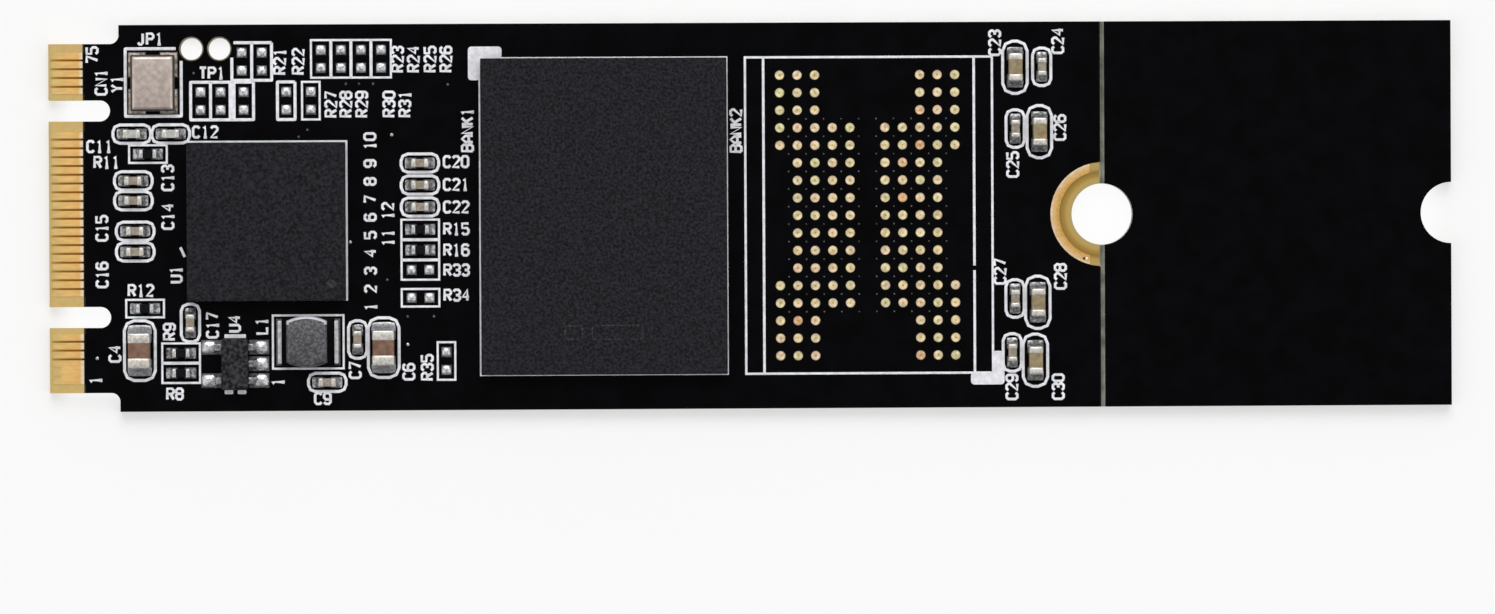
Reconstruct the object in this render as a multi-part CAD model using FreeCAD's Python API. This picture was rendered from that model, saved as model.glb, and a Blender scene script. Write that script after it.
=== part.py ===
import FreeCAD
import Part
import math
import os
from collections import namedtuple
from FreeCAD import Vector

# A gumstick solid state drive: a thin card with an edge connector at one end, one memory package,
# an empty site for a second one, a controller, and a tail that can be snapped off at a score line.
# Lengths are in millimetres. Inside this script X runs from the connector's front edge along the
# card, Y from its centre line, and Z from its underside. The finished pieces are then centred on X.

# Card
BOARD_WIDTH = 22.0
BOARD_THICKNESS = 0.8
SKIN = 0.03               # solder mask or copper on each face of the laminate
TAIL_LENGTH = 20.0        # from the screw hole to the far end
SCREW_HOLE_DIAMETER = 3.5
END_NOTCH_DIAMETER = 3.5
SCORE_WIDTH = 0.28
SCORE_DEPTH = 0.2
JUMPER_FROM_CRYSTAL = 2.19
JUMPER_PITCH = 1.59
JUMPER_BORE = 1.25
JUMPER_WALL = 0.07

# Connector tab
TAB_LENGTH = 4.0
TAB_SHOULDER = 1.075      # step from the card's side to the tab's side
SHOULDER_RADIUS = 0.5
TAB_BEVEL = 0.15
KEY_SLOT_WIDTH = 1.2
KEY_SLOT_DEPTH = 3.5
UPPER_KEY_Y = 6.125
LOWER_KEY_Y = -5.625
CONTACT_PITCH = 0.5
CONTACT_WIDTH = 0.35
CONTACT_SETBACK = 0.2     # from the front edge to the fingers
CONTACT_SIDE_MARGIN = 0.45
KEY_CLEARANCE = 0.3       # least laminate between a finger and a key slot
BARE_LENGTH = 2.05        # from the front edge to the solder mask
JOINED_CONTACTS = 3       # ground fingers that share one plate
JOINED_SETBACK = 0.63

# Bare copper arc beside the screw hole
GROUND_OPENING_RADIUS = 2.97
GROUND_ARC_WIDTH = 0.5
GROUND_ARC_INSET = 0.02
GROUND_ARC_END = 0.7      # from the arc's ends to the screw hole's centre

# Controller package
CONTROLLER_SIZE = 9.0
CONTROLLER_X = 12.36
CONTROLLER_Y = -0.22
CONTROLLER_BALL_PITCH = 0.8
CONTROLLER_BALL_ROWS = 10
CONTROLLER_MOULD = 0.62
CONTROLLER_TO_COLUMN = 4.23   # from the controller's side to the column of small chips

# Memory package and the empty site beside it
FLASH_WIDTH = 14.0
FLASH_LENGTH = 18.0
FLASH_PITCH = 1.0
FLASH_MOULD = 0.65
FLASH_LAND_DIAMETER = 0.54
FLASH_ROW_COUNT = 17
FLASH_COLUMN_COUNT = 11
FLASH_END_ROW_COUNT = 3      # rows at each end with lands only near their ends
FLASH_END_COLUMN_COUNT = 3   # lands at each end of such a row
FLASH_WAIST_ROW_COUNT = 7    # middle rows with no lands in the outermost columns
COLUMN_TO_FLASH = 3.46    # from that column to the memory package's side
SITE_GAP = 1.05           # between the memory package and the empty site
SITE_TO_SCREW = 6.4
SITE_RAIL_SPACING = 12.03
BALL_STANDOFF = 0.25
BALL_DIAMETER = 0.44
SUBSTRATE = 0.22
BALL_SIDES = 6
WINDOW_MARGIN = 0.1       # mask opening round the outermost balls

# Crystal
CRYSTAL_WIDTH = 2.5
CRYSTAL_LENGTH = 3.2
CRYSTAL_BASE = 0.5
CRYSTAL_LID = 0.18
CRYSTAL_RIM = 0.1         # ceramic left free round the lid
CRYSTAL_FROM_CONTROLLER = 1.92   # from the controller's side to the crystal's centre
CRYSTAL_TO_CLOCK_ROW = 1.29   # from the crystal's side to the row of chips below it
CRYSTAL_LAND_REACH = 0.17
CRYSTAL_LAND_WIDTH = 1.03
CRYSTAL_LAND_LENGTH = 1.45

# Regulator with five gull-wing leads
REGULATOR_SHIFT = -1.82   # from the controller's centre, along the card
REGULATOR_WIDTH = 1.5
REGULATOR_LENGTH = 2.95
REGULATOR_HEIGHT = 1.05
REGULATOR_STANDOFF = 0.1
LEAD_PITCH = 0.95
LEAD_WIDTH = 0.4
LEAD_THICKNESS = 0.14
LEAD_RISER = 0.32         # from the body's side to the outside of the bend
LEAD_FOOT = 0.4
LEAD_LAND_GAP = 0.04      # between the body's side and the lands
LEAD_LAND_REACH = 0.45
LEAD_LAND_WIDTH = 0.82

# Power inductor
INDUCTOR_SHIFT = 2.33     # from the controller's centre, along the card
INDUCTOR_BASE_LENGTH = 3.0
INDUCTOR_BASE_WIDTH = 2.6
INDUCTOR_BASE_HEIGHT = 0.3
INDUCTOR_TOP_LENGTH = 2.34
INDUCTOR_TOP_WIDTH = 2.44
INDUCTOR_TOP_BULGE = 0.2
INDUCTOR_TOP_HEIGHT = 0.35
INDUCTOR_POST_DIAMETER = 1.3
INDUCTOR_WINDING_WALL = 0.4
INDUCTOR_HEIGHT = 1.2
TERMINAL_WIDTH = 0.22
TERMINAL_LENGTH = 2.46
TERMINAL_HEIGHT = 0.42
TERMINAL_LAND_MARGIN = 0.1

# Two-terminal chips: a ceramic block with plated ends
PLATING = 0.02
SMALL_LENGTH = 1.0
SMALL_WIDTH = 0.5
SMALL_HEIGHT = 0.5
SMALL_CAP = 0.24
SMALL_REACH = 0.35        # land beyond the chip's end
SMALL_FRAME_GAP = 0.1     # between the land's end and the printed frame
MEDIUM_LENGTH = 1.6
MEDIUM_WIDTH = 0.8
MEDIUM_HEIGHT = 0.8
MEDIUM_CAP = 0.36
MEDIUM_REACH = 0.35
MEDIUM_FRAME_GAP = 0.25
LARGE_LENGTH = 2.0
LARGE_WIDTH = 1.25
LARGE_HEIGHT = 1.25
LARGE_CAP = 0.45
LARGE_REACH = 0.45
LARGE_FRAME_GAP = 0.15
RESISTOR_HEIGHT = 0.35    # otherwise as small as the small capacitors
LAND_MARGIN = 0.06        # land beside the chip
LAND_INSET = 0.05         # land under the chip past its plated end
FILLET_SHARE = 0.7        # how far up its end the solder climbs
FILLET_LIP = 0.03
FILLET_HOLLOW = 0.42      # 0.5 would make the wedge straight

# Lands of parts that are not fitted
SPARE_LAND = 0.57
SPARE_SPACING = 1.02
SPARE_PITCH = 1.14        # from one pair of lands to the next in a block
JUMPER_TO_SPARE = 1.27    # from the second jumper hole to the block beside it

# White legend print
LEGEND_THICKNESS = 0.02
LEGEND_LINE = 0.19
LEGEND_CLEARANCE = 0.09   # between a frame and a land or a hole
FRAME_RADIUS = 0.38
PACKAGE_REVEAL = 0.1      # legend line left showing round a package
CONTROLLER_FRAME_SHIFT = 0.08   # the controller sits a little off its frame
CORNER_MARK_WIDTH = 0.7
CORNER_MARK_REACH = 1.22
TICK_LENGTH = 0.5
TICK_WIDTH = 0.26
TICK_SPACING = 0.74
FILLED_STRIP = 0.3        # solid print between two groups of spare lands

# Places across the card, as shares of its width from the centre line: 0.5 is the upper edge
CRYSTAL_ACROSS = 0.3495
JUMPER_ACROSS = 0.4377
REGULATOR_ACROSS = -0.3773
INDUCTOR_ACROSS = -0.3218


def across(share):
    """Y of a place, from its share of the card's width."""
    return share * BOARD_WIDTH


# Places along the card, each from the piece before it
TOP = BOARD_THICKNESS
UPPER_EDGE = BOARD_WIDTH / 2
LOWER_EDGE = -BOARD_WIDTH / 2
TAB_WIDTH = BOARD_WIDTH - 2 * TAB_SHOULDER
CONTROLLER_LEFT = CONTROLLER_X - CONTROLLER_SIZE / 2
COLUMN_X = CONTROLLER_X + CONTROLLER_SIZE / 2 + CONTROLLER_TO_COLUMN
FLASH_X = COLUMN_X + COLUMN_TO_FLASH + FLASH_WIDTH / 2
SITE_X = FLASH_X + FLASH_WIDTH + SITE_GAP
SCREW_X = SITE_X + FLASH_WIDTH / 2 + SITE_TO_SCREW
BOARD_LENGTH = SCREW_X + TAIL_LENGTH
CRYSTAL_X = CONTROLLER_LEFT - CRYSTAL_FROM_CONTROLLER
JUMPER_X = CRYSTAL_X + JUMPER_FROM_CRYSTAL
REGULATOR_X = CONTROLLER_X + REGULATOR_SHIFT
INDUCTOR_X = CONTROLLER_X + INDUCTOR_SHIFT
CRYSTAL_Y = across(CRYSTAL_ACROSS)
JUMPER_Y = across(JUMPER_ACROSS)
REGULATOR_Y = across(REGULATOR_ACROSS)
INDUCTOR_Y = across(INDUCTOR_ACROSS)
CLOCK_ROW_Y = CRYSTAL_Y - CRYSTAL_LENGTH / 2 - CRYSTAL_TO_CLOCK_ROW
INDUCTOR_RIGHT = INDUCTOR_X + INDUCTOR_BASE_LENGTH / 2

ChipSize = namedtuple("ChipSize", "length width height cap reach frame_gap")
Chip = namedtuple("Chip", "name size x y upright")
SMALL = ChipSize(SMALL_LENGTH, SMALL_WIDTH, SMALL_HEIGHT, SMALL_CAP, SMALL_REACH, SMALL_FRAME_GAP)
MEDIUM = ChipSize(MEDIUM_LENGTH, MEDIUM_WIDTH, MEDIUM_HEIGHT, MEDIUM_CAP, MEDIUM_REACH, MEDIUM_FRAME_GAP)
LARGE = ChipSize(LARGE_LENGTH, LARGE_WIDTH, LARGE_HEIGHT, LARGE_CAP, LARGE_REACH, LARGE_FRAME_GAP)
RESISTOR = SMALL._replace(height=RESISTOR_HEIGHT)

# Ceramic capacitors, each with its place and whether it stands across the card
CAPACITORS = [
    Chip("crystal_capacitor_left", SMALL, CRYSTAL_X - 1.21, CLOCK_ROW_Y, False),
    Chip("crystal_capacitor_right", SMALL, CRYSTAL_X + 1.0, CLOCK_ROW_Y, False),
    Chip("core_capacitor_1", SMALL, CONTROLLER_LEFT - 3.06, CLOCK_ROW_Y - 2.66, False),
    Chip("core_capacitor_2", SMALL, CONTROLLER_LEFT - 3.06, CLOCK_ROW_Y - 3.79, False),
    Chip("core_capacitor_3", SMALL, CONTROLLER_LEFT - 2.97, CLOCK_ROW_Y - 5.525, False),
    Chip("core_capacitor_4", SMALL, CONTROLLER_LEFT - 2.97, CLOCK_ROW_Y - 6.7, False),
    Chip("reset_capacitor", SMALL, REGULATOR_X - 2.54, across(-0.2709), True),
    Chip("filter_capacitor", SMALL, INDUCTOR_RIGHT + 1.31, across(-0.3159), True),
    Chip("feedback_capacitor", SMALL, INDUCTOR_RIGHT - 0.43, across(-0.4264), False),
    Chip("bus_capacitor_1", SMALL, COLUMN_X, across(0.14), False),
    Chip("bus_capacitor_2", SMALL, COLUMN_X, across(0.0832), False),
    Chip("bus_capacitor_3", SMALL, COLUMN_X, across(0.0264), False),
    Chip("memory_bypass_1", SMALL, SCREW_X - 3.42, across(0.3827), True),
    Chip("memory_bypass_2", SMALL, SCREW_X - 4.95, across(0.2227), True),
    Chip("memory_bypass_3", SMALL, SCREW_X - 5.0, across(-0.2182), True),
    Chip("memory_bypass_4", SMALL, SCREW_X - 5.17, across(-0.3582), True),
    Chip("memory_reservoir_1", MEDIUM, SCREW_X - 4.95, across(0.3818), True),
    Chip("memory_reservoir_2", MEDIUM, SCREW_X - 3.57, across(0.2145), True),
    Chip("memory_reservoir_3", MEDIUM, SCREW_X - 3.7, across(-0.2282), True),
    Chip("memory_reservoir_4", MEDIUM, SCREW_X - 3.85, across(-0.3786), True),
    Chip("input_capacitor", LARGE, REGULATOR_X - 5.42, across(-0.3418), True),
    Chip("output_capacitor", LARGE, INDUCTOR_RIGHT + 2.79, across(-0.3373), True),
]

RESISTORS = [
    Chip("crystal_resistor", RESISTOR, CRYSTAL_X - 0.3, CLOCK_ROW_Y - 1.14, False),
    Chip("reset_resistor", RESISTOR, REGULATOR_X - 5.11, across(-0.2332), False),
    Chip("feedback_resistor_1", RESISTOR, REGULATOR_X - 3.08, across(-0.3491), False),
    Chip("feedback_resistor_2", RESISTOR, REGULATOR_X - 3.08, across(-0.4005), False),
    Chip("strap_resistor_1", RESISTOR, COLUMN_X, across(-0.0318), False),
    Chip("strap_resistor_2", RESISTOR, COLUMN_X, across(-0.085), False),
]

# Places of the pairs of lands that carry no part
SpareSite = namedtuple("SpareSite", "x y upright")


def spare_block(first, count, y):
    """Pairs of lands side by side, the first of them at a place along the card."""
    return [SpareSite(first + step * SPARE_PITCH, y, True) for step in range(count)]


SPARE_SITES = spare_block(JUMPER_X + JUMPER_PITCH + JUMPER_TO_SPARE, 2, across(0.4045))
SPARE_SITES += spare_block(CONTROLLER_X - 3.72, 2, across(0.3027))
SPARE_SITES += [SpareSite(CONTROLLER_X + x, across(0.3027), True) for x in (-1.27, 1.15, 2.55)]
SPARE_SITES += spare_block(CONTROLLER_X + 3.13, 4, across(0.4105))
SPARE_SITES += [SpareSite(COLUMN_X, across(-0.1364), False), SpareSite(COLUMN_X, across(-0.2086), False)]
SPARE_SITES += [SpareSite(COLUMN_X + 1.46, across(-0.3727), True)]
STRIP_SITE = SPARE_SITES[4]


# Outlines

def rectangle(x, y, along_x, along_y):
    """Closed rectangle round x, y, on the plane Z = 0."""
    half_x = along_x / 2
    half_y = along_y / 2
    corners = [(-half_x, -half_y), (half_x, -half_y), (half_x, half_y), (-half_x, half_y)]
    points = [Vector(x + dx, y + dy, 0) for dx, dy in corners]
    return Part.makePolygon(points + points[:1])


def rounded_rectangle(x, y, along_x, along_y, radius):
    """Closed rectangle with round corners."""
    diagonal = radius * (1 - math.sqrt(0.5))
    edges = []
    last = None
    first = None
    for sx, sy in ((1, -1), (1, 1), (-1, 1), (-1, -1)):
        corner = Vector(x + sx * along_x / 2, y + sy * along_y / 2, 0)
        before = Vector(corner.x - sx * radius, corner.y, 0)
        after = Vector(corner.x, corner.y - sy * radius, 0)
        if sx * sy > 0:
            before, after = after, before
        middle = Vector(corner.x - sx * diagonal, corner.y - sy * diagonal, 0)
        if last is not None:
            edges.append(Part.makeLine(last, before))
        else:
            first = before
        edges.append(Part.Arc(before, middle, after).toShape())
        last = after
    edges.append(Part.makeLine(last, first))
    return Part.Wire(edges)


def many_sided(x, y):
    """Regular outline that stands for a ball squeezed between the card and its package."""
    radius = BALL_DIAMETER / 2
    points = []
    for step in range(BALL_SIDES):
        angle = 2 * math.pi * step / BALL_SIDES
        points.append(Vector(x + radius * math.cos(angle), y + radius * math.sin(angle), 0))
    return Part.makePolygon(points + points[:1])


def circle(x, y, diameter):
    return Part.Wire(Part.makeCircle(diameter / 2, Vector(x, y, 0)))


def filled(outer, holes=()):
    """Flat face inside the outer wire and outside the holes."""
    face = Part.Face(outer)
    if holes:
        face.cutHoles([hole.reversed() for hole in holes])
    return face


def plate(face, z, thickness):
    """Solid over a flat face, from z up."""
    solid = face.extrude(Vector(0, 0, thickness))
    solid.translate(Vector(0, 0, z))
    return solid


def block(x, y, z, along_x, along_y, height):
    """Box with its underside at z."""
    return Part.makeBox(along_x, along_y, height, Vector(x - along_x / 2, y - along_y / 2, z))


def bar_between(x_from, x_to, y, z, width, height):
    return Part.makeBox(x_to - x_from, width, height, Vector(x_from, y - width / 2, z))


def save(node, solids):
    """Centres the piece on X and writes its file."""
    piece = solids[0] if len(solids) == 1 else Part.Compound(solids)
    piece.translate(Vector(-BOARD_LENGTH / 2, 0, 0))
    piece.exportStep("parts/" + node + ".step")
    print(node, len(piece.Solids), "solids", round(piece.Volume, 4), "mm3")


# Card outline

def board_outline():
    """Outer wire of the card, counterclockwise from the tab's lower front corner."""
    half_tab = TAB_WIDTH / 2
    radius = SHOULDER_RADIUS
    diagonal = radius * math.sqrt(0.5)
    notch = END_NOTCH_DIAMETER / 2
    half_slot = KEY_SLOT_WIDTH / 2
    slot_centre = KEY_SLOT_DEPTH - half_slot
    edges = []
    here = [Vector(0, -half_tab, 0)]

    def line_to(x, y):
        there = Vector(x, y, 0)
        edges.append(Part.makeLine(here[0], there))
        here[0] = there

    def arc_to(through, end):
        edges.append(Part.Arc(here[0], Vector(*through, 0), Vector(*end, 0)).toShape())
        here[0] = Vector(*end, 0)

    line_to(TAB_LENGTH - radius, -half_tab)
    bend = (TAB_LENGTH - radius + diagonal, -half_tab - radius + diagonal)
    arc_to(bend, (TAB_LENGTH, -half_tab - radius))
    line_to(TAB_LENGTH, LOWER_EDGE)
    line_to(BOARD_LENGTH, LOWER_EDGE)
    line_to(BOARD_LENGTH, -notch)
    arc_to((BOARD_LENGTH - notch, 0), (BOARD_LENGTH, notch))
    line_to(BOARD_LENGTH, UPPER_EDGE)
    line_to(TAB_LENGTH, UPPER_EDGE)
    line_to(TAB_LENGTH, half_tab + radius)
    bend = (TAB_LENGTH - radius + diagonal, half_tab + radius - diagonal)
    arc_to(bend, (TAB_LENGTH - radius, half_tab))
    line_to(0, half_tab)
    for key_y in (UPPER_KEY_Y, LOWER_KEY_Y):
        line_to(0, key_y + half_slot)
        line_to(slot_centre, key_y + half_slot)
        arc_to((KEY_SLOT_DEPTH, key_y), (slot_centre, key_y - half_slot))
        line_to(0, key_y - half_slot)
    line_to(0, -half_tab)
    return Part.Wire(edges)


JUMPER_CENTRES = [(JUMPER_X, JUMPER_Y), (JUMPER_X + JUMPER_PITCH, JUMPER_Y)]
SLEEVE_DIAMETER = JUMPER_BORE + 2 * JUMPER_WALL
JUMPER_OPENINGS = [circle(x, y, SLEEVE_DIAMETER) for x, y in JUMPER_CENTRES]
SCREW_OPENING = circle(SCREW_X, 0, SCREW_HOLE_DIAMETER)
BOARD_FACE = filled(board_outline(), [SCREW_OPENING])


def wedge_across(points):
    """Prism with an X-Z outline, through the whole width of the card."""
    corners = [Vector(x, LOWER_EDGE, z) for x, z in points]
    face = Part.Face(Part.makePolygon(corners + corners[:1]))
    return face.extrude(Vector(0, BOARD_WIDTH, 0))


def laminate():
    """Glass-epoxy core, with score grooves and a bevelled front edge on both faces."""
    face = filled(board_outline(), [SCREW_OPENING] + JUMPER_OPENINGS)
    core = plate(face, SKIN, TOP - 2 * SKIN)
    cuts = []
    half = SCORE_WIDTH / 2
    for surface, inward in ((TOP - SKIN, -1), (SKIN, 1)):
        deep = surface + inward * SCORE_DEPTH
        cuts.append(wedge_across([(SCREW_X - half, surface), (SCREW_X + half, surface), (SCREW_X, deep)]))
        low = surface + inward * TAB_BEVEL
        cuts.append(wedge_across([(0, surface), (TAB_BEVEL, surface), (0, low)]))
    return core.cut(Part.Compound(cuts)).Solids


def mask_field(x_from, x_to, openings):
    """Solder mask over one stretch of the card, as a flat face."""
    stretch = filled(rectangle((x_from + x_to) / 2, 0, x_to - x_from, BOARD_WIDTH))
    field = BOARD_FACE.common(stretch)
    if x_to < SCREW_X:
        field = field.cut(filled(circle(SCREW_X, 0, 2 * GROUND_OPENING_RADIUS)))
    return filled(field.Faces[0].OuterWire, openings)


def solder_mask(z, openings):
    """Mask on one face: the drive proper, and the tail beyond the score line."""
    drive = mask_field(BARE_LENGTH, SCREW_X - SCORE_WIDTH / 2, openings)
    tail = mask_field(SCREW_X + SCORE_WIDTH / 2, BOARD_LENGTH, [])
    return [plate(drive, z, SKIN), plate(tail, z, SKIN)]


# Connector fingers and the copper arc

def contact_rows(shift):
    """Y of each finger in one row. The second row sits half a pitch across from the first."""
    room = TAB_WIDTH - 2 * CONTACT_SIDE_MARGIN - CONTACT_WIDTH
    count = math.floor(room / CONTACT_PITCH) + 1 - shift
    rows = []
    for index in range(count):
        y = (index - (count - 1) / 2) * CONTACT_PITCH
        reach = KEY_SLOT_WIDTH / 2 + KEY_CLEARANCE + CONTACT_WIDTH / 2
        if min(abs(y - UPPER_KEY_Y), abs(y - LOWER_KEY_Y)) > reach:
            rows.append(y)
    return rows


def edge_contacts(shift, z, joined):
    """Gold fingers on one face, the first few of them joined by a plate."""
    rows = contact_rows(shift)
    fingers = [bar_between(CONTACT_SETBACK, BARE_LENGTH, y, z, CONTACT_WIDTH, SKIN) for y in rows]
    if not joined:
        return fingers
    middle = (rows[0] + rows[joined - 1]) / 2
    width = rows[joined - 1] - rows[0] + CONTACT_WIDTH
    shared = bar_between(JOINED_SETBACK, BARE_LENGTH, middle, z, width, SKIN)
    comb = shared.multiFuse(fingers[:joined]).removeSplitter()
    return comb.Solids + fingers[joined:]


def ground_arc(z):
    """Copper arc on the connector side of the screw hole."""
    outer = GROUND_OPENING_RADIUS - GROUND_ARC_INSET
    inner = outer - GROUND_ARC_WIDTH
    ring = filled(circle(SCREW_X, 0, 2 * outer), [circle(SCREW_X, 0, 2 * inner)])
    reach = outer - GROUND_ARC_END
    side = filled(rectangle(SCREW_X - GROUND_ARC_END - reach / 2, 0, reach, 2 * outer))
    return plate(ring.common(side).Faces[0], z, SKIN)


def sleeve(x, y):
    """Plated lining of a jumper hole."""
    return plate(filled(circle(x, y, SLEEVE_DIAMETER), [circle(x, y, JUMPER_BORE)]), 0, TOP)


# Lands and balls

def flash_grid(x, y):
    """Centres of a memory package's lands: a grid, thinned out at its ends and waist."""
    places = []
    last_row = FLASH_ROW_COUNT // 2
    last_column = FLASH_COLUMN_COUNT // 2
    for row in range(-last_row, last_row + 1):
        at_end = abs(row) > last_row - FLASH_END_ROW_COUNT
        inner = last_column - FLASH_END_COLUMN_COUNT + 1 if at_end else 1
        outer = last_column - 1 if abs(row) <= FLASH_WAIST_ROW_COUNT // 2 else last_column
        for column in range(-outer, outer + 1):
            if abs(column) >= inner:
                places.append((x + column * FLASH_PITCH, y + row * FLASH_PITCH))
    return places


def controller_grid():
    """Centres of the controller's balls."""
    middle = (CONTROLLER_BALL_ROWS - 1) / 2
    places = []
    for row in range(CONTROLLER_BALL_ROWS):
        for column in range(CONTROLLER_BALL_ROWS):
            x = CONTROLLER_X + (column - middle) * CONTROLLER_BALL_PITCH
            y = CONTROLLER_Y + (row - middle) * CONTROLLER_BALL_PITCH
            places.append((x, y))
    return places


def ball_window(places):
    """One opening in the mask for all the balls of a package."""
    margin = BALL_DIAMETER + 2 * WINDOW_MARGIN
    along_x = [x for x, y in places]
    along_y = [y for x, y in places]
    middle_x = (min(along_x) + max(along_x)) / 2
    middle_y = (min(along_y) + max(along_y)) / 2
    width = max(along_x) - min(along_x) + margin
    length = max(along_y) - min(along_y) + margin
    return rectangle(middle_x, middle_y, width, length)


def chip_lands(chip):
    """The two lands of a chip, each as x, y and its two sizes."""
    size = chip.size
    inner = size.length / 2 - size.cap - LAND_INSET
    outer = size.length / 2 + size.reach
    middle = (inner + outer) / 2
    along = outer - inner
    across = size.width + 2 * LAND_MARGIN
    if chip.upright:
        return [(chip.x, chip.y + side * middle, across, along) for side in (-1, 1)]
    return [(chip.x + side * middle, chip.y, along, across) for side in (-1, 1)]


def crystal_lands():
    """Four corner lands that stand out a little round the crystal."""
    from_middle_x = CRYSTAL_WIDTH / 2 + CRYSTAL_LAND_REACH - CRYSTAL_LAND_WIDTH / 2
    from_middle_y = CRYSTAL_LENGTH / 2 + CRYSTAL_LAND_REACH - CRYSTAL_LAND_LENGTH / 2
    lands = []
    for sx, sy in ((-1, -1), (1, -1), (1, 1), (-1, 1)):
        x = CRYSTAL_X + sx * from_middle_x
        y = CRYSTAL_Y + sy * from_middle_y
        lands.append((x, y, CRYSTAL_LAND_WIDTH, CRYSTAL_LAND_LENGTH))
    return lands


LEAD_PLACES = [(-1, -LEAD_PITCH), (-1, LEAD_PITCH), (1, -LEAD_PITCH), (1, 0), (1, LEAD_PITCH)]
LEAD_OUTER = REGULATOR_WIDTH / 2 + LEAD_RISER + LEAD_FOOT


def regulator_lands():
    inner = REGULATOR_WIDTH / 2 + LEAD_LAND_GAP
    outer = LEAD_OUTER + LEAD_LAND_REACH
    middle = (inner + outer) / 2
    lands = []
    for side, y in LEAD_PLACES:
        lands.append((REGULATOR_X + side * middle, REGULATOR_Y + y, outer - inner, LEAD_LAND_WIDTH))
    return lands


TERMINAL_OFFSET = (INDUCTOR_BASE_LENGTH + TERMINAL_WIDTH) / 2


def inductor_lands():
    width = TERMINAL_WIDTH + 2 * TERMINAL_LAND_MARGIN
    length = TERMINAL_LENGTH + 2 * TERMINAL_LAND_MARGIN
    return [(INDUCTOR_X + side * TERMINAL_OFFSET, INDUCTOR_Y, width, length) for side in (-1, 1)]


def spare_lands(site):
    half = SPARE_SPACING / 2
    if site.upright:
        return [(site.x, site.y + side * half, SPARE_LAND, SPARE_LAND) for side in (-1, 1)]
    return [(site.x + side * half, site.y, SPARE_LAND, SPARE_LAND) for side in (-1, 1)]


# Fitted parts

def placed(shape, chip):
    """Turns a chip's piece from the X direction to its own, and puts it in its place."""
    if chip.upright:
        shape.rotate(Vector(0, 0, 0), Vector(0, 0, 1), 90)
    shape.translate(Vector(chip.x, chip.y, 0))
    return shape


def chip_body(size):
    """Ceramic block of a chip, thinner than its plated ends by the plating."""
    thin = 2 * PLATING
    return block(0, 0, TOP + PLATING, size.length - thin, size.width - thin, size.height - thin)


def chip_caps(size):
    """Plated metal over both ends of a chip."""
    offset = (size.length - size.cap) / 2
    body = chip_body(size)
    return [block(side * offset, 0, TOP, size.cap, size.width, size.height).cut(body) for side in (-1, 1)]


def chip_fillets(size):
    """Hollow-faced wedge of solder from each land up the chip's end."""
    end = size.length / 2
    tip = end + size.reach
    crest = TOP + size.height * FILLET_SHARE
    lip = TOP + FILLET_LIP
    foot = Vector(end, -size.width / 2, TOP)
    toe = Vector(tip, foot.y, TOP)
    toe_top = Vector(tip, foot.y, lip)
    hollow = Vector(end + size.reach * FILLET_HOLLOW, foot.y, lip + (crest - lip) * FILLET_HOLLOW)
    head = Vector(end, foot.y, crest)
    lines = [Part.makeLine(foot, toe), Part.makeLine(toe, toe_top)]
    lines += [Part.Arc(toe_top, hollow, head).toShape(), Part.makeLine(head, foot)]
    wedge = Part.Face(Part.Wire(lines)).extrude(Vector(0, size.width, 0))
    other = wedge.copy()
    other.rotate(Vector(0, 0, 0), Vector(0, 0, 1), 180)
    return [wedge, other]


def regulator_lead(side, y):
    """Gull-wing lead, from the middle of the body's side down to its land."""
    start = REGULATOR_WIDTH / 2
    bend = start + LEAD_RISER
    shoulder = TOP + REGULATOR_STANDOFF + REGULATOR_HEIGHT / 2
    sole = TOP + LEAD_THICKNESS
    profile = [(start, shoulder), (bend - LEAD_THICKNESS, shoulder), (bend - LEAD_THICKNESS, TOP)]
    profile += [(LEAD_OUTER, TOP), (LEAD_OUTER, sole), (bend, sole)]
    profile += [(bend, shoulder + LEAD_THICKNESS), (start, shoulder + LEAD_THICKNESS)]
    points = [Vector(REGULATOR_X + side * x, REGULATOR_Y + y - LEAD_WIDTH / 2, z) for x, z in profile]
    return Part.Face(Part.makePolygon(points + points[:1])).extrude(Vector(0, LEAD_WIDTH, 0))


def inductor_top():
    """Upper flange of the ferrite drum, bowed out at both ends."""
    half_x = INDUCTOR_TOP_LENGTH / 2
    half_y = INDUCTOR_TOP_WIDTH / 2
    crown = half_y + INDUCTOR_TOP_BULGE
    corners = [Vector(sx * half_x, sy * half_y, 0) for sx, sy in ((-1, -1), (1, -1), (1, 1), (-1, 1))]
    edges = [Part.Arc(corners[0], Vector(0, -crown, 0), corners[1]).toShape()]
    edges += [Part.makeLine(corners[1], corners[2])]
    edges += [Part.Arc(corners[2], Vector(0, crown, 0), corners[3]).toShape()]
    edges += [Part.makeLine(corners[3], corners[0])]
    face = Part.Face(Part.Wire(edges))
    face.translate(Vector(INDUCTOR_X, INDUCTOR_Y, 0))
    return plate(face, TOP + INDUCTOR_HEIGHT - INDUCTOR_TOP_HEIGHT, INDUCTOR_TOP_HEIGHT)


WINDING_BOTTOM = TOP + INDUCTOR_BASE_HEIGHT
WINDING_HEIGHT = INDUCTOR_HEIGHT - INDUCTOR_BASE_HEIGHT - INDUCTOR_TOP_HEIGHT


def inductor_core():
    """Ferrite drum: lower flange, post and upper flange in one piece."""
    base = block(INDUCTOR_X, INDUCTOR_Y, TOP, INDUCTOR_BASE_LENGTH, INDUCTOR_BASE_WIDTH, INDUCTOR_BASE_HEIGHT)
    section = filled(circle(INDUCTOR_X, INDUCTOR_Y, INDUCTOR_POST_DIAMETER))
    post = plate(section, WINDING_BOTTOM, WINDING_HEIGHT)
    return base.multiFuse([post, inductor_top()]).removeSplitter().Solids


def inductor_winding():
    outer = INDUCTOR_POST_DIAMETER + 2 * INDUCTOR_WINDING_WALL
    inside = circle(INDUCTOR_X, INDUCTOR_Y, INDUCTOR_POST_DIAMETER)
    return plate(filled(circle(INDUCTOR_X, INDUCTOR_Y, outer), [inside]), WINDING_BOTTOM, WINDING_HEIGHT)


# Legend print

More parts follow.
